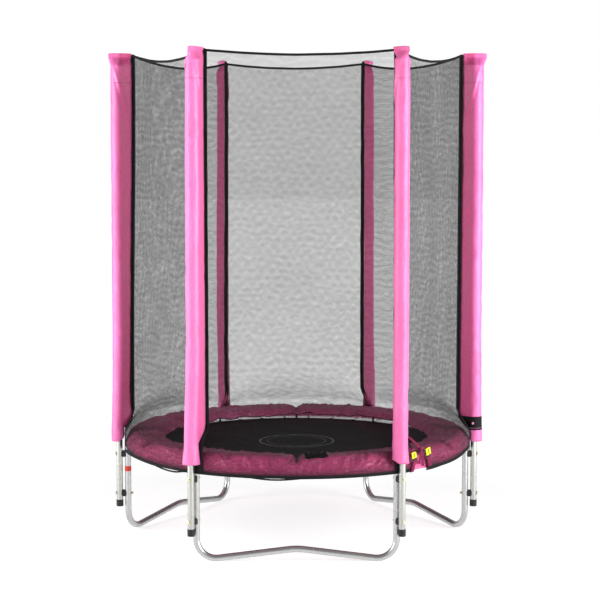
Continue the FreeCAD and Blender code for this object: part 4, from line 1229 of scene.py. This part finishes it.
def edge_tape(side, seed):
    """Binding along one seam: a folded strip towards the sleeve and a wing on each net panel."""
    bearing = BEARINGS[side]
    out = polar(1, bearing)
    wings = []
    for start, end, _ in PANELS.values():
        if side in (start, end):
            other = end if side == start else start
            wings.append((polar(1, BEARINGS[other]) - out).normalized())
    levels = spread(NET_LOW, SLEEVE_TOP - 0.006, TAPE_ROWS)
    strips = []
    for direction, width in ((out, TAPE_REACH), (wings[0], WING_REACH), (wings[1], WING_REACH)):
        is_wing = direction is not out
        wider = 1.0 if side.startswith("rear") else 2.3
        if is_wing and direction.y == min(wing.y for wing in wings):
            wider = FRONT_WINGS.get(side, wider)
        points = []
        for level in levels:
            flared = flare(level)
            radius = mix(NET_CORNER, NET_FOOT - rim_pull(bearing), flared)
            sway = wave(0.0016, seed, level * 14, width * 50) * (1 - flared)
            start = seam_point(side, level, radius) + polar(sway, bearing + 90)
            reach = direction * width * (1 + wave(0.12, seed, level * 9, 2))
            if is_wing:
                reach *= mix(wider, 1.0, smooth((level - 0.40) / 0.10))
                if level > CORD_TOP:
                    reach *= max(0.05, 1 - (level - CORD_TOP) / 0.008)
            else:
                reach *= mix(1.0, 0.10, flared)
            for share in (0, 0.5, 1):
                spot = start + reach * share
                if is_wing:
                    rim = rim_point(bearing_of(spot), level, NET_FOOT + 0.0009)
                    spot = spot.lerp(rim, flared ** 0.5)
                points.append(spot)
        strips.append((points, grid_faces(len(levels), 3)))
    piece = mesh_piece(f"net_tape_{side}", joined(strips), BLACK_TAPE, "frame", thick=0.0016)
    piece.modifiers["cloth"].offset = 0
    return piece


def cords():
    """Upper cord hanging between the poles and the wavy elastic in the lower hem."""
    upper = [net_spot(panel, share, 1.0) for panel in PANELS for share in spread(0, 1, 25)[:-1]]
    part = swept(upper, CORD_RADIUS, 10, closed=True)
    mesh_piece("net_cord_upper", part, BLACK_TAPE, "frame", instead=["net_top_cord"])
    path, tape = [], []
    turns = spread(DOOR_GAP[1], DOOR_GAP[0] + 360, 420)
    for turn in turns:
        near_pole = min(abs(between(turn, bearing)) for bearing in BEARINGS.values())
        droop = max(0.0, wave(1, turn * 0.055, 0, 8) - 0.08) * 0.015 * smooth((near_pole - 2.5) / 5)
        base = NET_LOW + hem_lift(turn)
        path.append(rim_point(turn, base - 0.0018 - droop, NET_FOOT - 0.001))
        for height in (-0.0030, 0.0025, 0.0075):
            ruffle = abs(wave(0.0006, turn * 0.3, height * 90, 4))
            tape.append(rim_point(turn, base + height, NET_FOOT + 0.0005 + ruffle))
    part = joined([swept(path, HEM_CORD_RADIUS), (tape, grid_faces(len(turns), 3))])
    mesh_piece("net_cord_hem", part, BLACK_TAPE, "frame", instead=["net_hem_cord"])


# ---- small parts -----------------------------------------------------------------------------

def blank_band():
    """Plain dark band round the right sleeve, with a pale line and a plain disc."""
    side = "right"
    levels = spread(*(corner.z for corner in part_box("sleeve_band")), 15)
    inward = polar(1, BEARINGS[side])
    rings = []
    for level in levels:
        ring = sleeve_points(side, SIDES.index(side) + 1, level, SLEEVE_LOW + 0.002, SLEEVE_TOP - 0.001)
        middle = sum(ring, Vector()) / len(ring)
        middle.z = level
        grown = []
        for spot in ring[1:-1]:
            away = spot - middle
            away -= inward * away.dot(inward) * 0.75
            grown.append(spot + away.normalized() * 0.0009)
        rings.append(grown)
    part = sum(rings, []), grid_faces(len(levels), len(rings[0]))
    band = mesh_piece(
        "sleeve_blank_band", part, BLACK_TAPE, "frame", instead=["sleeve_band"], thick=0.0009
    )
    band.modifiers["cloth"].offset = 0
    nearest = POLES[side].y
    front = [index for index, spot in enumerate(rings[0]) if spot.y < nearest - 0.010]
    line = [
        rings[2][index].lerp(rings[3][index], share) + Vector((0, -0.0008, 0))
        for share in (0, 0.35) for index in front
    ]
    middle_ring = rings[len(rings) // 2]
    centre = min(middle_ring, key=lambda spot: abs(spot.x - 0.712) + (0.05 if spot.y > nearest else 0))
    centre = centre + Vector((0, -0.0022, 0.001))
    disc = []
    for radius, back in ((0.0001, 0), (0.0052, 0.0004)):
        for turn in (2 * math.pi * index / 28 for index in range(28)):
            disc.append(centre + Vector((math.cos(turn) * radius, back, math.sin(turn) * radius)))
    part = joined([(line, grid_faces(2, len(front))), (disc, grid_faces(2, 28, closed=True))])
    mesh_piece("sleeve_band_marks", part, PALE_MARK, "frame", thick=0.0004)


CLIP_TILT = math.radians(15)
CLIP_DEPTH, RIGHT_CLIP_SIZE = 0.0042, 1.08
KNOT_STRAP, LINK_CORD = 0.0033, 0.0028


def stand_of(side):
    """Place of a door clip: origin and the outward, sideways and upward directions."""
    middle = centre_of(f"buckle_plug_{side}")
    bearing = bearing_of(middle)
    out, along = polar(1, bearing), polar(1, bearing + 90)
    sideways = along * math.cos(CLIP_TILT) + Vector((0, 0, math.sin(CLIP_TILT)))
    upward = Vector((0, 0, math.cos(CLIP_TILT))) - along * math.sin(CLIP_TILT)
    origin = middle - out * CLIP_DEPTH + upward * 0.0065
    return origin, out, sideways, upward


def at_stand(stand):
    """A function that carries outward, sideways and upward distances to a stand."""
    origin, out, sideways, upward = stand
    return lambda spot: origin + out * spot[0] + sideways * spot[1] + upward * spot[2]


def ribbon(path, width_directions, width, thickness=0.0013):
    """A flat strap along a path, as a closed strip with rounded long edges."""
    section = [(-0.5, 0.0), (-0.44, 0.5), (0.44, 0.5), (0.5, 0.0), (0.44, -0.5), (-0.44, -0.5)]
    corners, count = len(section), len(path)
    points = []
    for index, spot in enumerate(path):
        before, after = path[max(0, index - 1)], path[min(count - 1, index + 1)]
        side = width_directions[index].normalized()
        face = side.cross(after - before).normalized()
        points += [spot + side * across * width + face * out * thickness for across, out in section]
    faces = grid_faces(count, corners, closed=True)
    faces.append(tuple(range(corners))[::-1])
    faces.append(tuple((count - 1) * corners + index for index in range(corners)))
    return points, faces


def clip_housing(side):
    """Yellow shell with ribs, black side cheeks and bar, and the strap that anchors a clip."""
    place = at_stand(stand_of(side))
    big = 1.0 if side == "left" else RIGHT_CLIP_SIZE
    shells = [block(place, (0.0074 * big, 0.0235 * big, 0.0255 * big), 0.0022, 4, 0.0046, 0, 0.0008)]
    for row in range(3):
        for across in (-0.0058, 0.0058):
            spot = (0.0086 * big, across * big, -0.0050 + 0.0058 * row)
            shells.append(block(place, (0.0012, 0.0080 * big, 0.0022), 0.0005, 2, *spot))
    cheeks = [block(place, (0.0016, 0.0026, 0.0200 * big), 0.0006, 2, 0.0090 * big, 0, 0.0010)]
    for across in (-0.0128 * big, 0.0128 * big):
        cheeks.append(block(place, (0.0052, 0.0022, 0.0150), 0.0009, 3, CLIP_DEPTH, across, 0.0012))
    cheeks.append(block(place, (0.0060, 0.0240 * big, 0.0030), 0.0012, 3, 0.0044, 0, 0.0148 * big))
    path = [place((0.0044, 0, height)) for height in (0.0130, 0.0170, 0.0220, 0.0270)]
    return shells, cheeks, ribbon(path, [place((0, 1, 0)) - place((0, 0, 0))] * 4, 0.0155)


def strap_knot(knot, out, left):
    """The tied strap end: three loops, the strap that comes down to them and two hanging ends."""
    parts = []
    for turn_x, turn_z, radius in ((0.3, 0.0, 0.0062), (1.3, 0.9, 0.0056), (-0.9, 2.0, 0.0050)):
        lean = Vector((math.sin(turn_x), math.cos(turn_x) * 0.6, math.cos(turn_z)))
        tilt = Vector((0, 0, 1)).rotation_difference(lean)
        path = []
        for angle in (2 * math.pi * index / 22 for index in range(22)):
            spot = Vector((math.cos(angle) * radius, math.sin(angle) * radius, 0))
            spot.rotate(tilt)
            path.append(knot + spot)
        parts.append(swept(path, KNOT_STRAP, closed=True))
    high = polar(NET_FOOT - 0.030, bearing_of(left) - 0.4, 0.4750)
    side = polar(1, bearing_of(knot) + 90)
    rise = smooth_path([high, high.lerp(knot, 0.45) + out * 0.006, knot + out * 0.002], 10)
    parts.append(ribbon(rise, [side + Vector((0, 0, 0.5))] * 10, 0.0105))
    for sway, length, width in ((-0.004, 0.056, 0.0090), (0.016, 0.066, 0.0105)):
        path = []
        for share in spread(0, 1, 9):
            bow = out * (0.001 + 0.003 * math.sin(share * 5))
            path.append(knot + side * sway * share ** 1.2 + bow - Vector((0, 0, length * share)))
        parts.append(ribbon(path, [side + out * 0.4 * share for share in spread(0.2, 1, 9)], width))
    return parts


def clip_plug(side, out):
    """The releasing half of a clip with its strap tail."""
    place = at_stand(stand_of(side))
    body = f"buckle_plug_{side}"
    plug = joined([
        block(place, (0.0058, 0.0205, 0.0072), 0.0018, 3, CLIP_DEPTH, 0, -0.0168),
        block(place, (0.0036, 0.0160, 0.0160), 0.0010, 3, CLIP_DEPTH, 0, -0.0060),
    ])
    mesh_piece(f"door_clip_plug_{side}", plug, BLACK_BUCKLE, body, instead=[body])
    lean = -0.026 if side == "left" else -0.004
    path, widths = [], []
    across = place((0, 1, 0)) - place((0, 0, 0))
    for share in spread(0, 1, 10):
        bow = CLIP_DEPTH + 0.0016 * math.sin(9 * share)
        path.append(place((bow, lean * share ** 1.5, -0.0190 - 0.0400 * share)))
        widths.append(across + out * 0.35 * share)
    tail = ribbon(path, widths, 0.0150)
    mesh_piece(f"door_clip_tail_{side}", tail, SHADED_PINK_STRAP, body, instead=[f"buckle_tail_{side}"])


def door_clips():
    """Side-release clips, their straps, the black link between them and the tied strap end."""
    shells, cheeks, anchors = [], [], []
    for side in ("left", "right"):
        shell, cheek, anchor = clip_housing(side)
        shells += shell
        cheeks += cheek
        anchors.append(anchor)
    mesh_piece("door_clip_shells", joined(shells), YELLOW, "frame", instead=["buckle_receivers"])
    mesh_piece("door_clip_cheeks", joined(cheeks), BLACK_BUCKLE, "frame")
    left, right = stand_of("left")[0], stand_of("right")[0]
    knot = left.lerp(right, 0.46) + Vector((0, 0, 0.0165))
    out = polar(1, bearing_of(knot))
    knot = out * (NET_FOOT + 0.0075) + Vector((0, 0, knot.z))
    part = joined(anchors + strap_knot(knot, out, left))
    mesh_piece("door_strap_knot", part, SHADED_PINK_STRAP, "frame", instead=["buckle_anchor_straps"])
    link = smooth_path([
        polar(NET_FOOT - 0.028, bearing_of(left) - 0.6, 0.4560),
        left + out * 0.004 + Vector((0, 0, 0.016)),
        knot - out * 0.002 - Vector((0, 0, 0.006)),
        right + out * 0.004 + Vector((0, 0, 0.002)),
    ], 26)
    mesh_piece("door_link_cord", swept(link, LINK_CORD), BLACK_TAPE, "frame")
    for side in ("left", "right"):
        clip_plug(side, out)


DOOR_OUT, DOOR_ALONG = polar(1, -30), polar(1, 60)
TEETH_LINE, ZIP_TAPE_WIDTH = 0.0007, 0.0115


def zip_strip(share_from, share_to, levels):
    """A tape that follows the door panel just outside the net."""
    points = [
        net_spot("door", share, level_share) + DOOR_OUT * 0.0032
        for level_share in levels for share in spread(share_from, share_to, 4)
    ]
    return points, grid_faces(len(levels), 4)


def zip_teeth(share, levels, lean):
    """Coil of a zip half as a fine zigzag wire."""
    path = []
    for index, level_share in enumerate(spread(levels[0], levels[-1], len(levels) * 3)):
        step = DOOR_OUT * 0.0046 + DOOR_ALONG * lean * (0.0016 if index % 2 else 0.0)
        path.append(net_spot("door", share, level_share) + step)
    return swept(path, 0.0006, 4)


def zip_half(name, slit, width, side, levels, body=None, **more):
    """Tape and teeth on one side of the slit: side is -1 at the post and 1 on the flap."""
    near, far = (slit + side * reach / width for reach in (TEETH_LINE, ZIP_TAPE_WIDTH))
    part = joined([
        zip_strip(min(near, far), max(near, far), levels),
        zip_teeth(slit + side * 1.5 * TEETH_LINE / width, levels, side),
    ])
    return mesh_piece(name, part, ZIP_TAPE, body, thick=0.0005, **more)


def door_zip(slit, width):
    """Zip beside the front right pole: post tape, flap tape in two lengths, slider and puller."""
    inset = 0.002
    low, high = level_share_of(DOOR_LOW + inset), level_share_of(DOOR_HIGH - inset)
    half = level_share_of((DOOR_LOW + DOOR_HIGH) / 2)
    zip_half("zip_tape_fixed", slit, width, -1, spread(low, high, 90), "frame", instead=["zip_tape_post"])
    for (name, _, _, fixed_level, free_level), ends in zip(door_halves(), ((low, half), (half, high))):
        flap = zip_half(f"zip_tape_swinging_{name}", slit, width, 1, spread(*ends, 46))
        swing(flap, fixed_level, free_level)
        if name == "low":
            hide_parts("zip_tape_flap")
    middle = centre_of("zip_slider")

    def place(spot):
        return middle + DOOR_OUT * spot[0] + DOOR_ALONG * spot[1] + Vector((0, 0, spot[2]))

    puller = [Vector((0.0052, 0.0004, 0.004 - 0.003 * index)) for index in range(4)]
    ring = [
        Vector((0.0040, 0.0045 * math.cos(turn), -0.009 + 0.0050 * math.sin(turn)))
        for turn in spread(0, 2 * math.pi * 15 / 16, 16)
    ]
    slider = joined([
        block(place, (0.0022, 0.0092, 0.0105), 0.0010, 3, 0.0006, 0, 0.0040),
        block(place, (0.0022, 0.0030, 0.0068), 0.0008, 3, 0.0026, 0, 0.0045),
        moved(swept(puller, 0.0009), place),
        moved(swept(ring, 0.0009, closed=True), place),
    ])
    mesh_piece("zip_slider_body", slider, ZIP_METAL, "zip_slider", instead=["zip_slider"])


# ---- floor, light and camera -----------------------------------------------------------------

SENSOR, LENS, SIDE_SHIFT = 36, 107.1, 0.0057
VIEWPOINT, VIEW_TILT = (0, -7.205, 1.592), 84.83
FLOOR_SIZE, FLOOR_LEVEL = 40, -0.0005


def studio():
    """White floor and surroundings, soft lights at both sides and the viewpoint."""
    white = Surface("studio_floor", rough=1.0, Specular_IOR_Level=0.0, Emission_Color=(1, 1, 1, 1))
    spot = white.add("ShaderNodeVectorMath", {"operation": "LENGTH"})
    white.feed(spot.inputs[0], white.place())
    glow = white.grey(spot.outputs["Value"], 0.68, 1.0, 1.2, 4.0)
    look = white.finish(Base_Color=(0.62, 0.62, 0.62, 1), Emission_Strength=glow)
    signs = ((-1, -1), (1, -1), (1, 1), (-1, 1))
    corners = [(x * FLOOR_SIZE, y * FLOOR_SIZE, FLOOR_LEVEL) for x, y in signs]
    mesh_piece("studio_floor", (corners, [(0, 1, 2, 3)]), look, slotted=False)
    world = bpy.data.worlds.new("studio")
    bpy.context.scene.world = world
    world.use_nodes = True
    tree = world.node_tree
    direction = tree.nodes.new("ShaderNodeSeparateXYZ")
    tree.links.new(tree.nodes.new("ShaderNodeTexCoord").outputs["Generated"], direction.inputs[0])
    ceiling = tree.nodes.new("ShaderNodeMapRange")
    for key, setting in (("From Min", 0.05), ("From Max", 0.60), ("To Min", 0.44), ("To Max", 0.14)):
        ceiling.inputs[key].default_value = setting
    tree.links.new(direction.outputs["Z"], ceiling.inputs["Value"])
    seen = tree.nodes.new("ShaderNodeLightPath")
    strength = tree.nodes.new("ShaderNodeMapRange")
    strength.inputs["To Max"].default_value = 1.0
    tree.links.new(ceiling.outputs["Result"], strength.inputs["To Min"])
    tree.links.new(seen.outputs["Is Camera Ray"], strength.inputs["Value"])
    tree.links.new(strength.outputs["Result"], tree.nodes["Background"].inputs["Strength"])
    tree.nodes["Background"].inputs["Color"].default_value = (1, 1, 1, 1)
    for name, spot, aim, width, power in (
        ("side_left", (-3.6, -1.2, 1.5), (0, 0, 1.0), 2.2, 135),
        ("side_right", (3.8, -1.9, 1.5), (0, 0, 1.0), 2.2, 158),
        ("front_right", (4.3, -4.2, 1.7), (0, 0, 0.8), 2.2, 108),
        ("front_left", (-3.4, -4.6, 1.5), (0, 0, 0.8), 1.8, 30),
    ):
        light = bpy.data.lights.new(name, "AREA")
        light.shape = "RECTANGLE"
        light.size, light.size_y = width, width * 1.3
        light.energy = power
        lamp = bpy.data.objects.new(name, light)
        lamp.location = spot
        lamp.rotation_euler = (Vector(aim) - Vector(spot)).to_track_quat("-Z", "Y").to_euler()
        bpy.context.scene.collection.objects.link(lamp)
    camera = bpy.data.cameras.new("camera")
    camera.sensor_width, camera.lens, camera.shift_x = SENSOR, LENS, SIDE_SHIFT
    viewer = bpy.data.objects.new("camera", camera)
    viewer.location = VIEWPOINT
    viewer.rotation_euler = (math.radians(VIEW_TILT), 0, 0)
    bpy.context.scene.collection.objects.link(viewer)
    bpy.context.scene.camera = viewer
    bpy.context.scene.view_settings.view_transform = "Standard"


paint_frame()
for index, side in enumerate(SIDES):
    sleeve(side, index + 1)
pole_foams()
frame_pad()
jump_mat()
mat_webbing()
springs()
net_panels()
tapes = [edge_tape(side, index + 1) for index, side in enumerate(SIDES)]
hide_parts("net_edge_tapes")
cords()
blank_band()
door_clips()
studio()
